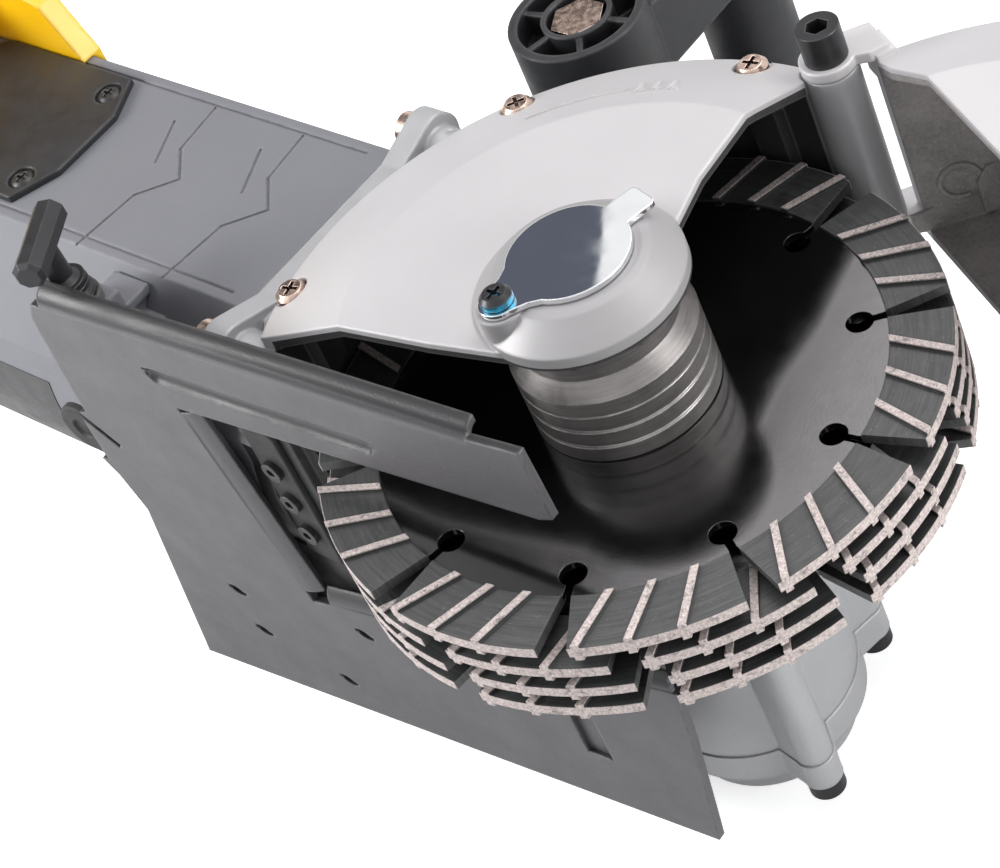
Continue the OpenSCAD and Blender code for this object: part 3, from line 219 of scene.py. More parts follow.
def surface(name, color, rough=0.5, metal=0.0, tone=0.12, tone_scale=25.0, rough_var=0.08,
            grain=900.0, bump=0.12, depth=0.0002, edge=0.0005, wear=None, wear_amount=0.6,
            speck=None, speck_amount=0.0, speck_scale=1600.0, coat=0.0, streak=None, hollow_tint=None,
            painted_shadow=None, top_shade=None):
    """A procedural finish: tone drift, grain bump, uneven gloss, rounded and worn edges.
    streak is (scale, stretch, amount, shade) of fine lines and hollow_tint is (color, reach, amount): that
    color laid into hollows.
    painted_shadow is (x, y, z, color): a painted shadow in that color past x, nearer than y and under z.
    Faces that look up take the color top_shade, a painted shade."""
    s = Shader(name)
    col = s.between(s.noise(tone_scale, 5, 0.6), shade(color, 1 - tone), shade(color, 1 + tone))
    if speck:
        spots = s.span(s.noise(speck_scale, 2, 0.5), 0.60, 0.68)
        col = s.mix(s.scaled(spots, speck_amount), col, speck)
    if streak:
        scale, stretch, amount, k = streak
        lines = s.span(s.noise(scale, 3, 0.6, stretch=stretch), 0.45, 0.75)
        col = s.mix(s.scaled(lines, amount), col, shade(color, k))
    gloss = s.span(s.noise(tone_scale * 6, 4, 0.6), 0.3, 0.7, max(0.02, rough - rough_var),
                   min(1.0, rough + rough_var))
    # corners and pits are tinted towards the given color, more where they are more enclosed
    if hollow_tint:
        hollow_color, reach, amount = hollow_tint
        col = s.mix(s.scaled(s.hollows(reach, 0.35, 0.95), amount), col, hollow_color)
    # painted shade: faces that look up are darkened towards the given color
    if top_shade:
        facing = s.node("ShaderNodeSeparateXYZ")
        s.link(s.node("ShaderNodeNewGeometry").outputs["Normal"], facing.inputs[0])
        col = s.mix(s.span(facing.outputs[2], 0.05, 0.6), col, top_shade)
    if wear:
        rim = s.edges(edge * 1.5)
        patch = s.math("MULTIPLY", rim, s.span(s.noise(260, 4, 0.7), 0.35, 0.6), clamp=True)
        patch = s.scaled(patch, wear_amount)
        col = s.mix(patch, col, wear)
        gloss = s.mix_value(patch, gloss, 0.32)
    # painted shadow: the part past x, nearer than y and under z takes the given dark color
    if painted_shadow:
        x, y, z = s.place()
        area = s.math("MULTIPLY", s.math("GREATER_THAN", x, painted_shadow[0]), s.math("LESS_THAN", y, painted_shadow[1]))
        col = s.mix(s.math("MULTIPLY", area, s.math("LESS_THAN", z, painted_shadow[2])), col, painted_shadow[3])
    s.put(s.bsdf.inputs["Base Color"], col)
    s.put(s.bsdf.inputs["Roughness"], gloss)
    s.bsdf.inputs["Metallic"].default_value = metal
    if coat:
        s.bsdf.inputs["Coat Weight"].default_value = coat
        s.bsdf.inputs["Coat Roughness"].default_value = 0.12
    normal = s.rounded(edge)
    s.link(s.bump(s.noise(grain, 4, 0.6), bump, depth, normal), s.bsdf.inputs["Normal"])
    return s.mat


def guard_finish(name, centre, outside, inside, edge_x=None, boss=None):
    """Smooth cast outside and a dark, rough inside, told apart by radius and height about a guard's centre.
    The hinge barrel stays pale. Left of edge_x, the guard's near end is dark as well.
    Within the radius boss, the pale casting is painted darker, as painted shade on the bearing boss."""
    s = Shader(name)
    radius = s.radius_about(centre)
    x, y, height = s.place()
    fall = s.scaled(s.math("MAXIMUM", s.math("SUBTRACT", radius, FOLD_R), 0.0), SLOPE)
    under = s.math("LESS_THAN", height, s.math("SUBTRACT", COVER_TOP - COVER_T, fall))
    within = s.span(radius, GUARD_R + 0.0002, GUARD_R + 0.0005, 1.0, 0.0)
    hidden = s.math("MULTIPLY", under, within)
    hidden = s.math("MULTIPLY", hidden, s.span(s.radius_about(HINGE), HINGE_R, HINGE_R + 0.0005))
    if edge_x:
        near_end = s.math("MULTIPLY", s.math("LESS_THAN", x, edge_x), s.math("LESS_THAN", y, -0.030))
        low = s.math("LESS_THAN", height, HEAD + 0.018)
        hidden = s.math("MAXIMUM", hidden, s.math("MULTIPLY", near_end, low))
    dark = s.between(s.noise(45, 5, 0.65), shade(inside, 0.55), shade(inside, 1.5))
    sand = s.span(s.noise(900, 4, 0.7), 0.3, 0.7)
    dark = s.mix(s.scaled(sand, 0.35), dark, shade(inside, 2.4))
    dark = s.mix(s.scaled(s.edges(0.0012), 0.35), dark, (0.35, 0.34, 0.34))
    pale = s.between(s.noise(18, 4, 0.6), shade(outside, 0.95), shade(outside, 1.04))
    pale = s.mix(s.scaled(s.edges(0.0012), 0.5), pale, shade(outside, 1.3))
    # painted shade: the bearing boss is darkened within its radius
    if boss:
        pale = s.mix(s.span(radius, boss, boss + 0.0007, 1.0, 0.0), pale, shade(outside, 0.62))
    s.put(s.bsdf.inputs["Base Color"], s.mix(hidden, pale, dark))
    s.put(s.bsdf.inputs["Roughness"], s.mix_value(hidden, 0.42, 0.66))
    s.bsdf.inputs["Metallic"].default_value = 0.2
    coarse = s.bump(s.noise(350, 5, 0.7), 0.5, 0.0006, s.rounded(0.001))
    fine = s.bump(s.noise(1500, 4, 0.6), 0.12, 0.0002, s.rounded(0.001))
    blend = s.node("ShaderNodeMix", data_type="VECTOR")
    s.put(blend.inputs["Factor"], hidden)
    s.link(fine, blend.inputs[4])
    s.link(coarse, blend.inputs[5])
    s.link(blend.outputs[1], s.bsdf.inputs["Normal"])
    return s.mat


# ---------------------------------------------------------------- materials
CAST_COLOR = (0.46, 0.462, 0.475)
INSIDE_AND_SHADOW_COLOR = (0.030, 0.030, 0.031)     # the dark inside of castings, also the color of the painted shadow on the gear case
SCREW_COLOR = (0.028, 0.028, 0.030)

die_cast = surface("die_cast_pale", (0.655, 0.635, 0.645), 0.42, 0.15, tone=0.03, tone_scale=14,
                   rough_var=0.06, grain=1500, bump=0.10, edge=0.0008, wear=(0.9, 0.9, 0.9),
                   wear_amount=0.5)
cast_look = dict(tone=0.05, tone_scale=22, grain=1100, bump=0.18, edge=0.0012, wear=(0.66, 0.66, 0.68),
                 wear_amount=0.5, speck=(0.34, 0.34, 0.35), speck_amount=0.18, speck_scale=1100)
cast_grey = surface("cast_grey", CAST_COLOR, 0.44, 0.3, **cast_look)
# the gear case's near side, seen through the sole plate's window, carries a painted shadow
cast_case = surface("cast_case", CAST_COLOR, 0.44, 0.3, painted_shadow=(-0.0925, -0.035, 0.116, INSIDE_AND_SHADOW_COLOR),
                    **cast_look)
housing_grey = surface("housing_grey", (0.190, 0.192, 0.212), 0.55, 0.0, tone=0.05, tone_scale=16,
                       grain=1900, bump=0.22, depth=0.00015, edge=0.0012, rough_var=0.05,
                       wear=(0.42, 0.42, 0.44), wear_amount=0.3)
black_plastic = surface("black_plastic", (0.017, 0.0175, 0.0195), 0.44, 0.0, tone=0.2, grain=1700,
                        bump=0.28, depth=0.0002, edge=0.0012, rough_var=0.1,
                        wear=(0.10, 0.10, 0.11), wear_amount=0.4)
sheet_dark = surface("label_dark", (0.030, 0.030, 0.033), 0.38, 0.0, tone=0.08, grain=1600, bump=0.1,
                     depth=0.0001, edge=0.0003)
yellow = surface("yellow_plastic", (1.0, 0.58, 0.008), 0.33, 0.0, tone=0.05, grain=1500, bump=0.08,
                 edge=0.0016, rough_var=0.06, coat=0.25)
# the sole plate's up-facing faces, its top fold among them, carry a painted shade
sheet = surface("sheet_black", (0.106, 0.102, 0.110), 0.40, 0.25, tone=0.06, tone_scale=9, grain=1500,
                bump=0.30, depth=0.0003, edge=0.0010, rough_var=0.08,
                wear=(0.30, 0.29, 0.29), wear_amount=0.35, speck=(0.05, 0.047, 0.05),
                speck_amount=0.35, speck_scale=1300, top_shade=(0.030, 0.029, 0.031))
gunmetal = surface("ring_steel", (0.26, 0.245, 0.24), 0.38, 0.85, tone=0.16, tone_scale=60, grain=1400,
                   bump=0.15, edge=0.0004, wear=(0.85, 0.82, 0.8), wear_amount=1.0,
                   streak=(300, (0.2, 0.2, 6.0), 0.5, 0.45))
bright_steel = surface("bright_steel", (0.62, 0.62, 0.64), 0.24, 1.0, tone=0.08, grain=1500, bump=0.08,
                       edge=0.0003, streak=(400, (0.3, 0.3, 4.0), 0.3, 0.7))
dark_steel = surface("dark_steel", SCREW_COLOR, 0.36, 0.4, tone=0.25, grain=1500, bump=0.18,
                     edge=0.0004, wear=(0.2, 0.2, 0.2), wear_amount=0.5)
# the knurled screws are tinted darker in their hollows
nickel = surface("nickel_copper", (0.72, 0.55, 0.46), 0.26, 1.0, tone=0.10, tone_scale=90, grain=1500,
                 bump=0.10, edge=0.0003, wear=(0.95, 0.85, 0.78), wear_amount=0.6,
                 hollow_tint=((0.10, 0.06, 0.05), 0.002, 0.8))
gear_steel = surface("gear_steel", (0.42, 0.41, 0.40), 0.35, 1.0, tone=0.12, grain=900, bump=0.12,
                     edge=0.0003, wear=(0.7, 0.7, 0.7))
rubber = surface("black_rubber", (0.022, 0.022, 0.023), 0.62, 0.0, tone=0.2, grain=1400, bump=0.3,
                 edge=0.0006)
copper = surface("copper_wire", (0.62, 0.26, 0.11), 0.3, 0.8, tone=0.2, grain=500, bump=0.3, edge=0.0005,
                 streak=(250, (8.0, 0.4, 0.4), 0.7, 0.5))
lamination = surface("lamination", (0.30, 0.30, 0.31), 0.45, 0.9, tone=0.1, grain=900, bump=0.1, edge=0.0004,
                     streak=(500, (9.0, 0.2, 0.2), 0.6, 0.6))
brass = surface("brass", (0.70, 0.50, 0.20), 0.3, 1.0, tone=0.1, grain=900, bump=0.1, edge=0.0004)
carbon = surface("carbon", (0.03, 0.03, 0.03), 0.7, 0.0, tone=0.2, grain=900, bump=0.3, edge=0.0004)


def chrome_plate():
    """Mirror chrome with a faint cloudiness."""
    s = Shader("mirror_chrome")
    s.bsdf.inputs["Metallic"].default_value = 1.0
    s.put(s.bsdf.inputs["Base Color"], s.between(s.noise(60, 3), (0.84, 0.85, 0.87), (0.90, 0.91, 0.93)))
    s.put(s.bsdf.inputs["Roughness"], s.span(s.noise(160, 3, 0.6), 0.35, 0.8, 0.02, 0.06))
    s.link(s.bump(s.noise(90, 2, 0.5), 0.05, 0.0001, s.rounded(0.0004)), s.bsdf.inputs["Normal"])
    return s.mat


def blue_ringed_screw(name, top):
    """A black screw with a blue ring round the foot of its head, which ends at top."""
    s = Shader(name)
    foot = s.span(s.place()[2], top - 0.0016, top - 0.0010, 1.0, 0.0)
    patchy = s.math("MULTIPLY", foot, s.span(s.noise(500, 4, 0.6), 0.35, 0.55, 0.35, 1.0))
    s.put(s.bsdf.inputs["Base Color"], s.mix(patchy, SCREW_COLOR, (0.02, 0.30, 0.48)))
    s.put(s.bsdf.inputs["Roughness"], s.span(s.noise(300, 3), 0.3, 0.7, 0.24, 0.38))
    s.bsdf.inputs["Metallic"].default_value = 0.4
    s.link(s.bump(s.noise(1500, 3), 0.12, 0.0002, s.rounded(0.0004)), s.bsdf.inputs["Normal"])
    return s.mat


def blade_finish(name, top):
    """Glossy black core; dark segments; pale worn ribs and rim. top is the segment face's height."""
    s = Shader(name)
    x, y, z = s.place()
    radius = s.radius_about((0, 0))
    height = s.math("SUBTRACT", z, top)
    core = s.span(radius, BLADE_CORE_R, BLADE_CORE_R + 0.0003, 1.0, 0.0)
    above = s.span(height, 0.0006, 0.0008)
    below = s.span(height, -0.0034, -0.0032, 1.0, 0.0)
    rim = s.span(radius, BLADE_RIM_R, BLADE_RIM_R + 0.00015)
    pale = s.math("MAXIMUM", s.math("MAXIMUM", above, below), rim)
    pale = s.math("MULTIPLY", pale, s.span(radius, BLADE_CORE_R + 0.0001, BLADE_CORE_R + 0.0004))
    chips = s.span(s.noise(520, 6, 0.8), 0.36, 0.47)
    pale = s.math("MULTIPLY", pale, s.span(chips, 0.0, 1.0, 0.25, 1.0))
    stone = s.mix(s.span(s.noise(1500, 5, 0.75), 0.32, 0.68), (0.34, 0.27, 0.255), (0.82, 0.73, 0.70))
    turned = s.noise(60, 6, 0.8, vector=s.polar(radius, x, y))
    metal = s.mix(s.span(turned, 0.32, 0.72), (0.021, 0.022, 0.023), (0.092, 0.094, 0.095))
    metal = s.mix(s.span(s.noise(900, 5, 0.8), 0.60, 0.72, 0.0, 0.5), metal, (0.30, 0.30, 0.30))
    # painted shade: the segments are darkened in their grooves and corners
    metal = s.mix(s.scaled(s.hollows(0.0016, 0.5, 0.98), 0.75), metal, (0.012, 0.012, 0.013))
    paint = s.between(s.noise(70, 4), (0.003, 0.003, 0.0032), (0.007, 0.0065, 0.007))
    s.put(s.bsdf.inputs["Base Color"], s.mix(core, s.mix(pale, metal, stone), paint))
    worn = s.mix_value(pale, s.span(s.noise(300, 4), 0.3, 0.7, 0.34, 0.55), 0.62)
    satin = s.span(s.noise(220, 5, 0.7), 0.3, 0.7, 0.08, 0.14)
    s.put(s.bsdf.inputs["Roughness"], s.mix_value(core, worn, satin))
    s.put(s.bsdf.inputs["Metallic"], s.mix_value(core, 0.25, 0.0))
    s.bsdf.inputs["Specular IOR Level"].default_value = 1.0
    s.put(s.bsdf.inputs["Coat Weight"], core)
    s.put(s.bsdf.inputs["Coat Roughness"], satin)
    s.bsdf.inputs["Coat IOR"].default_value = 1.5
    s.link(s.bump(s.noise(1500, 4, 0.7), 0.10, 0.0002, s.rounded(0.00025)), s.bsdf.inputs["Normal"])
    return s.mat


def give(mat, *names):
    """Puts a material on every slot of the named CAD nodes."""
    for n in names:
        for slot in nodes[n].material_slots:
            slot.material = mat


for k in (1, 2, 3, 4):
    give(blade_finish(f"blade_finish_{k}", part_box(f"blade_{k}")[1].z - SEGMENT_RIB), f"blade_{k}")
give(gunmetal, "spacer_rings", "inner_flange", "clamp_flange")
give(dark_steel, "clamp_screw", "head_screws", "guard_screws", "guard_hinge_screw",
     "seal_screws", "top_cover_screws", "t_lever", "pivot_hardware")
give(blue_ringed_screw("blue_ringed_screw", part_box("cap_screw")[1].z), "cap_screw")
give(bright_steel, "spindle", "lower_spindle_bearing", "upper_spindle_bearing", "cover_bearing",
     "layshaft", "layshaft_bearings", "motor_bearings")
give(gear_steel, "crown_gear", "bevel_pinion", "layshaft_gear")
give(cast_case, "gear_case")
give(cast_grey, "gear_plate", "head_cover", "head_cap")
give(guard_finish("blade_guard_finish", (0, 0), CAST_COLOR, INSIDE_AND_SHADOW_COLOR, edge_x=-0.055), "blade_guard")
swung = HINGE - Matrix.Rotation(OPEN, 3, "Z") @ HINGE     # the front guard's own centre, carried open
give(guard_finish("front_guard_finish", swung, (0.67, 0.65, 0.66), (0.26, 0.243, 0.24)), "front_guard")
# the bearing boss on the cover gets a painted shade
give(guard_finish("cover_finish", (0, 0), (0.605, 0.587, 0.597), INSIDE_AND_SHADOW_COLOR, boss=BOSS_R), "bearing_cover")
give(nickel, "cover_screws", "flange_screws", "handle_bolt")
give(chrome_plate(), "swing_cap")
give(rubber, "seal_strip", "spindle_seal", "cord_gland")
give(black_plastic, "dust_spigot", "motor_fan", "top_cover", "rear_handle_left", "rear_handle_right",
     "switch_body", "trigger", "lock_button", "front_handle")
give(housing_grey, "motor_housing", "pivot_bracket")
give(lamination, "stator", "armature")
give(copper, "field_coils", "armature_windings", "commutator")
give(brass, "brush_holders")
give(carbon, "carbon_brushes")
give(yellow, "hood")
give(sheet, "sole_plate")


# ---------------------------------------------------------------- shapes for small pieces
def solid(name, verts, faces, mat, body):
    """A closed mesh that rides on a CAD body. Vertices are in metres in the row frame."""
    bm = bmesh.new()
    made = [bm.verts.new(v) for v in verts]
    for f in faces:
        bm.faces.new([made[i] for i in f])
    bmesh.ops.remove_doubles(bm, verts=bm.verts, dist=1e-7)
    bmesh.ops.recalc_face_normals(bm, faces=bm.faces)
    me = bpy.data.meshes.new(name)
    bm.to_mesh(me)
    bm.free()
    me.materials.append(mat)
    ob = bpy.data.objects.new(name, me)
    scene.collection.objects.link(ob)
    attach(ob, body)
    return ob


def strip(name, top_a, top_b, low_a, low_b, mat, body):
    """A bar swept along four matching lines of points: two on its top, two on its underside."""
    n = len(top_a)
    faces = []
    for k in range(n - 1):
        for ring in range(4):
            a, b = ring * n + k, (ring + 1) % 4 * n + k
            faces.append([a, a + 1, b + 1, b])
    faces.append([0, n, 2 * n, 3 * n])
    faces.append([n - 1, 2 * n - 1, 3 * n - 1, 4 * n - 1])
    return solid(name, top_a + top_b + low_b + low_a, faces, mat, body)


def prism(name, outline, low, high, mat, body, place):
    """An outline of (a, b) points pulled from depth low to high. place(a, b, depth) gives each corner."""
    n = len(outline)
    verts = [place(a, b, depth) for depth in (low, high) for a, b in outline]
    faces = [list(range(n))[::-1], list(range(n, 2 * n))]
    faces += [[k, (k + 1) % n, n + (k + 1) % n, n + k] for k in range(n)]
    return solid(name, verts, faces, mat, body)


def lathe(name, profile, centre, axis, mat, body, steps=40, span=360):
    """A profile of (radius, height) points turned about an axis through centre, by span degrees."""
    turn = Vector(axis).normalized().to_track_quat("Z", "Y").to_matrix()
    whole = span == 360
    count = steps if whole else steps + 1
    verts = []
    for k in range(count):
        a = math.radians(span * k / steps)
        verts += [centre + turn @ Vector((r * math.cos(a), r * math.sin(a), h)) for r, h in profile]
    n = len(profile)
    faces = []
    for k in range(steps):
        for j in range(n):
            a, b = k * n + j, (k + 1) % count * n + j
            c = (j + 1) % n - j
            faces.append([a, b, b + c, a + c])
    if not whole:
        faces += [list(range(n)), list(range((count - 1) * n, count * n))]
    return solid(name, verts, faces, mat, body)


def cut(node, tool, name):
    """Takes the hidden tool's shape out of a CAD node, for the looks only."""
    tool.hide_render = True
    tool.hide_viewport = True
    m = nodes[node].modifiers.new(name, "BOOLEAN")
    m.object = tool
    m.operation = "DIFFERENCE"
    m.solver = "EXACT"
    m.material_mode = "TRANSFER"


# ---------------------------------------------------------------- raised marks on the silver cover
def on_cover(radius, turn, lift):
    """A point on the silver cover at a radius (m) and angle (degrees), raised by lift."""
    a = math.radians(turn)
    z = COVER_TOP - max(0.0, radius - FOLD_R) * SLOPE + lift
    return Vector((radius * math.cos(a), radius * math.sin(a), z))


def cover_mark(name, radii, turns):
    """A low raised mark on the cover between two radii, along the given angles."""
    lines = [[on_cover(r, a, lift) for a in turns] for lift in (0.0005, -0.0004) for r in radii]
    strip(name, *lines, die_cast, "machine")


# A fine arc, then three small marks, each an upright with a foot
cover_mark("cover_rib", (0.0668, 0.0675), [142 - k for k in range(23)])
upright = (0.0652, 0.0702)
foot = (0.0652, 0.0660)
for k, turn in enumerate((118.2, 114.8, 111.4)):
    cover_mark(f"cover_mark_{k + 1}_upright", upright, [turn, turn - 0.35, turn - 0.7])
    cover_mark(f"cover_mark_{k + 1}_foot", foot, [turn - 0.7, turn - 1.4, turn - 2.2])


# ---------------------------------------------------------------- black strip beside the blades
def beside_blades(x, z, y):
    """A point of an upright piece, with z counted from the blade face."""
    return Vector((x, y, HEAD + z))


STRIP_BACK = -0.0464         # face of the strip that lies towards the blades
strip_outline = [(-0.0858, -0.0456), (-0.0735, -0.0456), (-0.0735, 0.000), (-0.0765, 0.003), (-0.0840, 0.003),
                 (-0.0850, -0.002)]
wide_strip = prism("seal_strip_skirt", strip_outline, STRIP_BACK - 0.0018, STRIP_BACK, rubber, "machine",
                   beside_blades)
foot_outline = [(-0.0975, -0.076), (-0.0790, -0.076), (-0.0735, -0.056), (-0.0735, -0.0458),
                (-0.0975, -0.0458)]
prism("seal_strip_foot", foot_outline, STRIP_BACK - 0.0008, STRIP_BACK, rubber, "machine", beside_blades)
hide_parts("seal_strip")
soft = wide_strip.modifiers.new("soft_edges", "BEVEL")
soft.width = 0.0004
soft.segments = 2


# ---------------------------------------------------------------- bare dark label plate on the housing
def label_edge(x, lift):
    """Points up the housing's near side at one end of the label."""
    r = HOUSING_R + lift
    turns = [math.radians(-26 + 3 * k) for k in range(14)]
    return [Vector((x, -r * math.cos(a), HOUSING_AXIS + r * math.sin(a))) for a in turns]


LABEL_ENDS = (-0.172, -0.236)
LABEL_FACE = 0.0002          # how far the label stands off the housing
LABEL_SINK = -0.0003         # its underside lies inside the housing's wall
strip("label_plate", *[label_edge(x, lift) for lift in (LABEL_FACE, LABEL_SINK) for x in LABEL_ENDS],
      sheet_dark, "machine")


# ---------------------------------------------------------------- cast ring and pad inside the front guard
def on_guard_wall(a, b, depth):
    """A point counted from the pad's place: a along the wall, b up, depth into the chamber."""
    return Vector((0.0272 + 0.62 * a + 0.66 * depth, 0.1026 + 0.79 * a - 0.75 * depth, 0.1035 + b))


guard_mat = nodes["front_guard"].material_slots[0].material
lathe("guard_ring", [(0.0042, -0.001), (0.0056, -0.001), (0.0056, 0.0007), (0.0042, 0.0007)],
      Vector((0.0216, 0.0974, 0.1079)), (0.70, -0.72, 0.0), guard_mat, "opening_guard", steps=36, span=290)
prism("guard_pad", [(-0.004, -0.007), (0.009, -0.007), (0.009, 0.007), (-0.001, 0.007), (-0.004, 0.003)],
      -0.001, 0.0008, guard_mat, "opening_guard", on_guard_wall)


# ---------------------------------------------------------------- sole plate
def on_plate(x, z, depth):
    """A point of the sole plate: x along it, z up, depth from its outer face."""
    return Vector((x * math.cos(SOLE_TURN) - depth * math.sin(SOLE_TURN),
                   -SOLE_Y + x * math.sin(SOLE_TURN) + depth * math.cos(SOLE_TURN), z))


def plate_prism(name, outline, low, high, mat=sheet):
    """A prism that rides on the sole plate, between two depths."""
    return prism(name, outline, low, high, mat, "depth_plate", on_plate)


def pressed_groove():
    """The tool for the long round-ended groove: a capsule whose axis lies just outside the sheet."""
    start = on_plate(-0.0995, 0.1432, -0.0014)
    end = on_plate(-0.0320, 0.1428, -0.0014)
    half = (end - start).length / 2
    quarter = [math.radians(15 * k) for k in range(7)]
    capsule = [(GROOVE_R * math.sin(a), -half - GROOVE_R * math.cos(a)) for a in quarter]
    capsule += [(r, -h) for r, h in reversed(capsule)]
    return lathe("plate_groove_tool", capsule, (start + end) / 2, end - start, sheet, "depth_plate", steps=32)


def slot_outline(x, z):
    """A small slanted oval about (x, z)."""
    turns = [math.radians(18 * k) for k in range(20)]
    return [(x + 0.0023 * math.cos(a) - 0.0005 * math.sin(a),
             z + 0.0017 * math.sin(a) - 0.0005 * math.cos(a)) for a in turns]


cut("sole_plate", pressed_groove(), "pressed_groove")
for k, middle in enumerate(((-0.1214, 0.0535), (-0.1204, 0.0370), (-0.0745, 0.0560), (-0.0940, 0.0280))):
    slot_tool = plate_prism(f"plate_slot_tool_{k + 1}", slot_outline(*middle), -0.001, 0.004, sheet_dark)
    cut("sole_plate", slot_tool, f"pierced_slot_{k + 1}")
crease = [(-0.1025, 0.1445), (-0.0290, 0.1439), (-0.0286, 0.1444), (-0.0290, 0.1448), (-0.1025, 0.1454),
          (-0.1032, 0.1449)]
cut("sole_plate", plate_prism("plate_crease_tool", crease, -0.001, 0.0017), "pressed_crease")
recess = [(-0.0081, 0.0409), (0.0001, 0.0409), (0.0001, 0.0591), (-0.0081, 0.0591)]
plate_prism("plate_recess_floor", recess, 0.0014, 0.0022)
tab = [(-0.1600, 0.0965), (-0.1446, 0.0965), (-0.1446, 0.1185), (-0.1600, 0.1185)]
cut("sole_plate", plate_prism("plate_tab_tool", tab, -0.002, 0.005), "tab_off")
bush = [(0.0, 0.0008), (0.0030, 0.0008), (0.0036, 0.0), (0.0072, 0.0), (0.0078, 0.0006), (0.0078, 0.0022),
        (0.0, 0.0022)]
lathe("plate_bush", bush, on_plate(-0.1480, 0.1068, 0.0002), on_plate(0, 0, 1) - on_plate(0, 0, 0), rubber,
      "depth_plate")

# The pivot bracket's knuckle is lower than the solid one where it reaches over the housing
knuckle = [(-0.1400, 0.0182), (-0.1240, 0.0182), (-0.1240, 0.030), (-0.1400, 0.030)]
cut("pivot_bracket", prism("knuckle_tool", knuckle, -0.0385, -0.0240, housing_grey, "machine", beside_blades),
    "lower_knuckle")


# ---------------------------------------------------------------- floor, world and lamps
def pale_floor(z):
    """A wide matt floor that glows a little for the camera alone, so it fades into the backdrop."""
    bm = bmesh.new()
    bmesh.ops.create_grid(bm, x_segments=8, y_segments=8, size=6.0)
    me = bpy.data.meshes.new("floor")
    bm.to_mesh(me)
    bm.free()
    ob = bpy.data.objects.new("floor", me)
    ob.location.z = z
    scene.collection.objects.link(ob)
    s = Shader("floor_finish")
    color = (0.86, 0.86, 0.86)
    s.put(s.bsdf.inputs["Base Color"], s.mix(s.noise(3, 2), shade(color, 0.99), color))
    s.bsdf.inputs["Roughness"].default_value = 0.9
    seen = s.node("ShaderNodeLightPath")
    glow = s.node("ShaderNodeEmission")
    glow.inputs["Color"].default_value = (1, 1, 1, 1)
    glow.inputs["Strength"].default_value = 0.62
    both = s.node("ShaderNodeAddShader")
    blend = s.node("ShaderNodeMixShader")
    s.link(s.bsdf.outputs[0], both.inputs[0])
    s.link(glow.outputs[0], both.inputs[1])
    s.link(seen.outputs["Is Camera Ray"], blend.inputs[0])
    s.link(s.bsdf.outputs[0], blend.inputs[1])
    s.link(both.outputs[0], blend.inputs[2])
    s.link(blend.outputs[0], s.out.inputs["Surface"])
    me.materials.append(s.mat)


def background(tree, color, strength):
    """An even backdrop node."""
    n = tree.nodes.new("ShaderNodeBackground")
    n.inputs["Color"].default_value = (*color, 1)
    n.inputs["Strength"].default_value = strength
    return n


def larger(tree, a, b):
    """The larger of two sockets' values."""
    n = tree.nodes.new("ShaderNodeMath")
    n.operation = "MAXIMUM"
    tree.links.new(a, n.inputs[0])
    tree.links.new(b, n.inputs[1])
    return n.outputs[0]


def studio_world():
    """White for the camera and for mirrors and glass, dimmer as a light."""
    world = bpy.data.worlds.new("studio")
    scene.world = world
    world.use_nodes = True
    tree = world.node_tree
    tree.nodes.clear()
    out = tree.nodes.new("ShaderNodeOutputWorld")
    rays = tree.nodes.new("ShaderNodeLightPath").outputs
    lit = background(tree, (0.96, 0.98, 1.0), 0.37)
    shown = background(tree, (1, 1, 1), 1.0)
    seen = larger(tree, rays["Is Camera Ray"], rays["Is Glossy Ray"])
    seen = larger(tree, seen, rays["Is Transmission Ray"])
    choose = tree.nodes.new("ShaderNodeMixShader")
    tree.links.new(seen, choose.inputs[0])
    tree.links.new(lit.outputs[0], choose.inputs[1])
    tree.links.new(shown.outputs[0], choose.inputs[2])
    tree.links.new(choose.outputs[0], out.inputs[0])


MIDDLE = Vector((-0.03, 0.0, HEAD))
REAR_SIDE = Vector((-0.24, -0.05, HEAD + 0.01))


def lamp(name, azimuth, elevation, distance, size, power, color=(1, 1, 1), target=MIDDLE):
    """An area lamp seen from its target at the given azimuth and elevation (degrees)."""
    data = bpy.data.lights.new(name, "AREA")
    data.shape = "RECTANGLE"
    data.size, data.size_y = size
    data.energy = power
    data.color = color
    ob = bpy.data.objects.new(name, data)
    az, el = math.radians(azimuth), math.radians(elevation)
    away = Vector((math.cos(el) * math.cos(az), math.cos(el) * math.sin(az), math.sin(el)))
    ob.location = target + distance * away
    ob.rotation_euler = (target - ob.location).to_track_quat("-Z", "Y").to_euler()
    scene.collection.objects.link(ob)


pale_floor(cad_bounds[0][2] - 0.0015)
studio_world()
lamp("key", 60, 58, 1.3, (1.1, 0.9), 9.5)
lamp("fill", -115, 40, 1.4, (1.2, 0.9), 2.8, (0.97, 0.98, 1.0))
lamp("front", -35, 20, 1.5, (0.9, 0.7), 0.4)
lamp("side", 22, 12, 1.3, (0.7, 0.5), 9.5)
lamp("left", -128, 32, 0.6, (0.35, 0.30), 4.5, target=REAR_SIDE)

# ---------------------------------------------------------------- camera
cam_data = bpy.data.cameras.new("camera")
cam = bpy.data.objects.new("camera", cam_data)
scene.collection.objects.link(cam)
scene.camera = cam
cam.location = Vector((0.3912, -0.2736, HEAD + 0.4344))
aim = Vector((-0.0200, -0.0235, HEAD))
level = (aim - cam.location).to_track_quat("-Z", "Y").to_matrix()
cam.rotation_euler = (level @ Matrix.Rotation(math.radians(-26.35), 3, "Z")).to_euler()
cam_data.sensor_width = 36.0
cam_data.lens = 102.9
cam_data.clip_start = 0.01


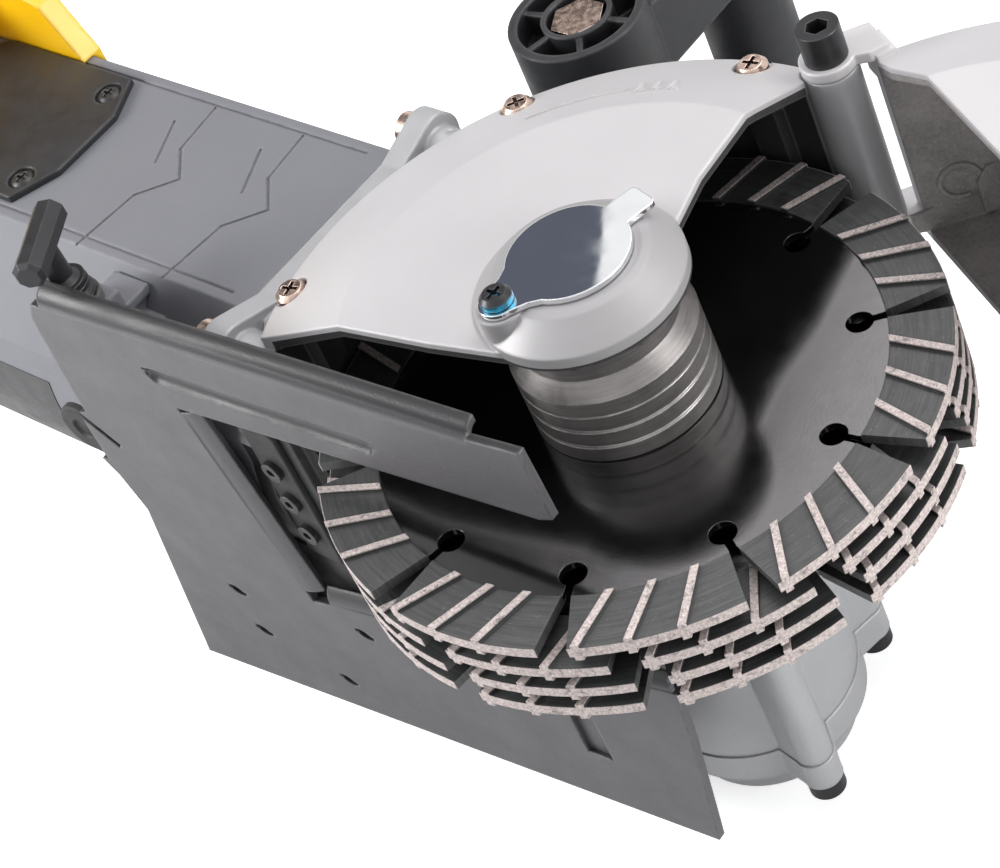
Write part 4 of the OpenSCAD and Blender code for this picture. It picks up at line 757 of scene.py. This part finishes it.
# ---------------------------------------------------------------- cards that the shiny faces mirror
def card(name, spots, rise, glow):
    """A card that only reflections see. Seen from the camera, its corners are mirrored at the (x, y)
    spots of the top blade. It lies level, at the height rise over the blade."""
    corners = []
    for x, y in spots:
        spot = Vector((x, y, HEAD))
        ray = spot - cam.location
        ray.z = -ray.z
        corners.append(spot + ray * (rise / ray.z))
    me = bpy.data.meshes.new(name)
    me.from_pydata([p[:] for p in corners], [], [list(range(len(corners)))])
    ob = bpy.data.objects.new(name, me)
    scene.collection.objects.link(ob)
    mat = bpy.data.materials.new(name + "_finish")
    mat.use_nodes = True
    tree = mat.node_tree
    tree.nodes.clear()
    emission = tree.nodes.new("ShaderNodeEmission")
    emission.inputs["Color"].default_value = (*glow, 1)
    out = tree.nodes.new("ShaderNodeOutputMaterial")
    tree.links.new(emission.outputs[0], out.inputs[0])
    me.materials.append(mat)
    ob.visible_camera = False
    ob.visible_diffuse = False
    ob.visible_shadow = False
    ob.visible_transmission = False


# The black blade core mirrors a dark card, and past this edge a bright one
core_edge = [(0.030, -0.25), (0.033, -0.060), (0.041, -0.030), (0.044, -0.012), (0.040, 0.004),
             (0.0345, 0.0135), (0.030, 0.0245), (0.026, 0.041), (0.018, 0.056), (0.012, 0.090)]
past_edge = [(x + 0.002, y) for x, y in core_edge]
card("dark_card", [(-0.30, -0.25)] + core_edge + [(0.00, 0.30), (-0.30, 0.30)], 1.2, (0.012, 0.012, 0.014))
card("core_shine", past_edge + [(0.03, 0.20), (0.20, 0.20), (0.20, -0.25)], 1.2, (2.3, 2.2, 2.25))
# The swing cap mirrors blue-grey on its left and white on its right, parted by this line
cap_split = [(-0.0012, 0.0010), (-0.0130, 0.0180), (-0.0241, 0.0332)]
card("cap_shade", [(-0.046, 0.020), (-0.032, -0.012), (-0.004, -0.014)] + cap_split + [(-0.030, 0.038)],
     1.19, (0.115, 0.125, 0.160))
card("cap_shine", cap_split[::-1] + [(0.006, -0.006), (0.0160, 0.0060), (-0.0101, 0.0392), (-0.018, 0.042)],
     1.18, (1.0, 1.0, 1.0))

scene.view_settings.view_transform = "Standard"

bpy.context.view_layer.update()
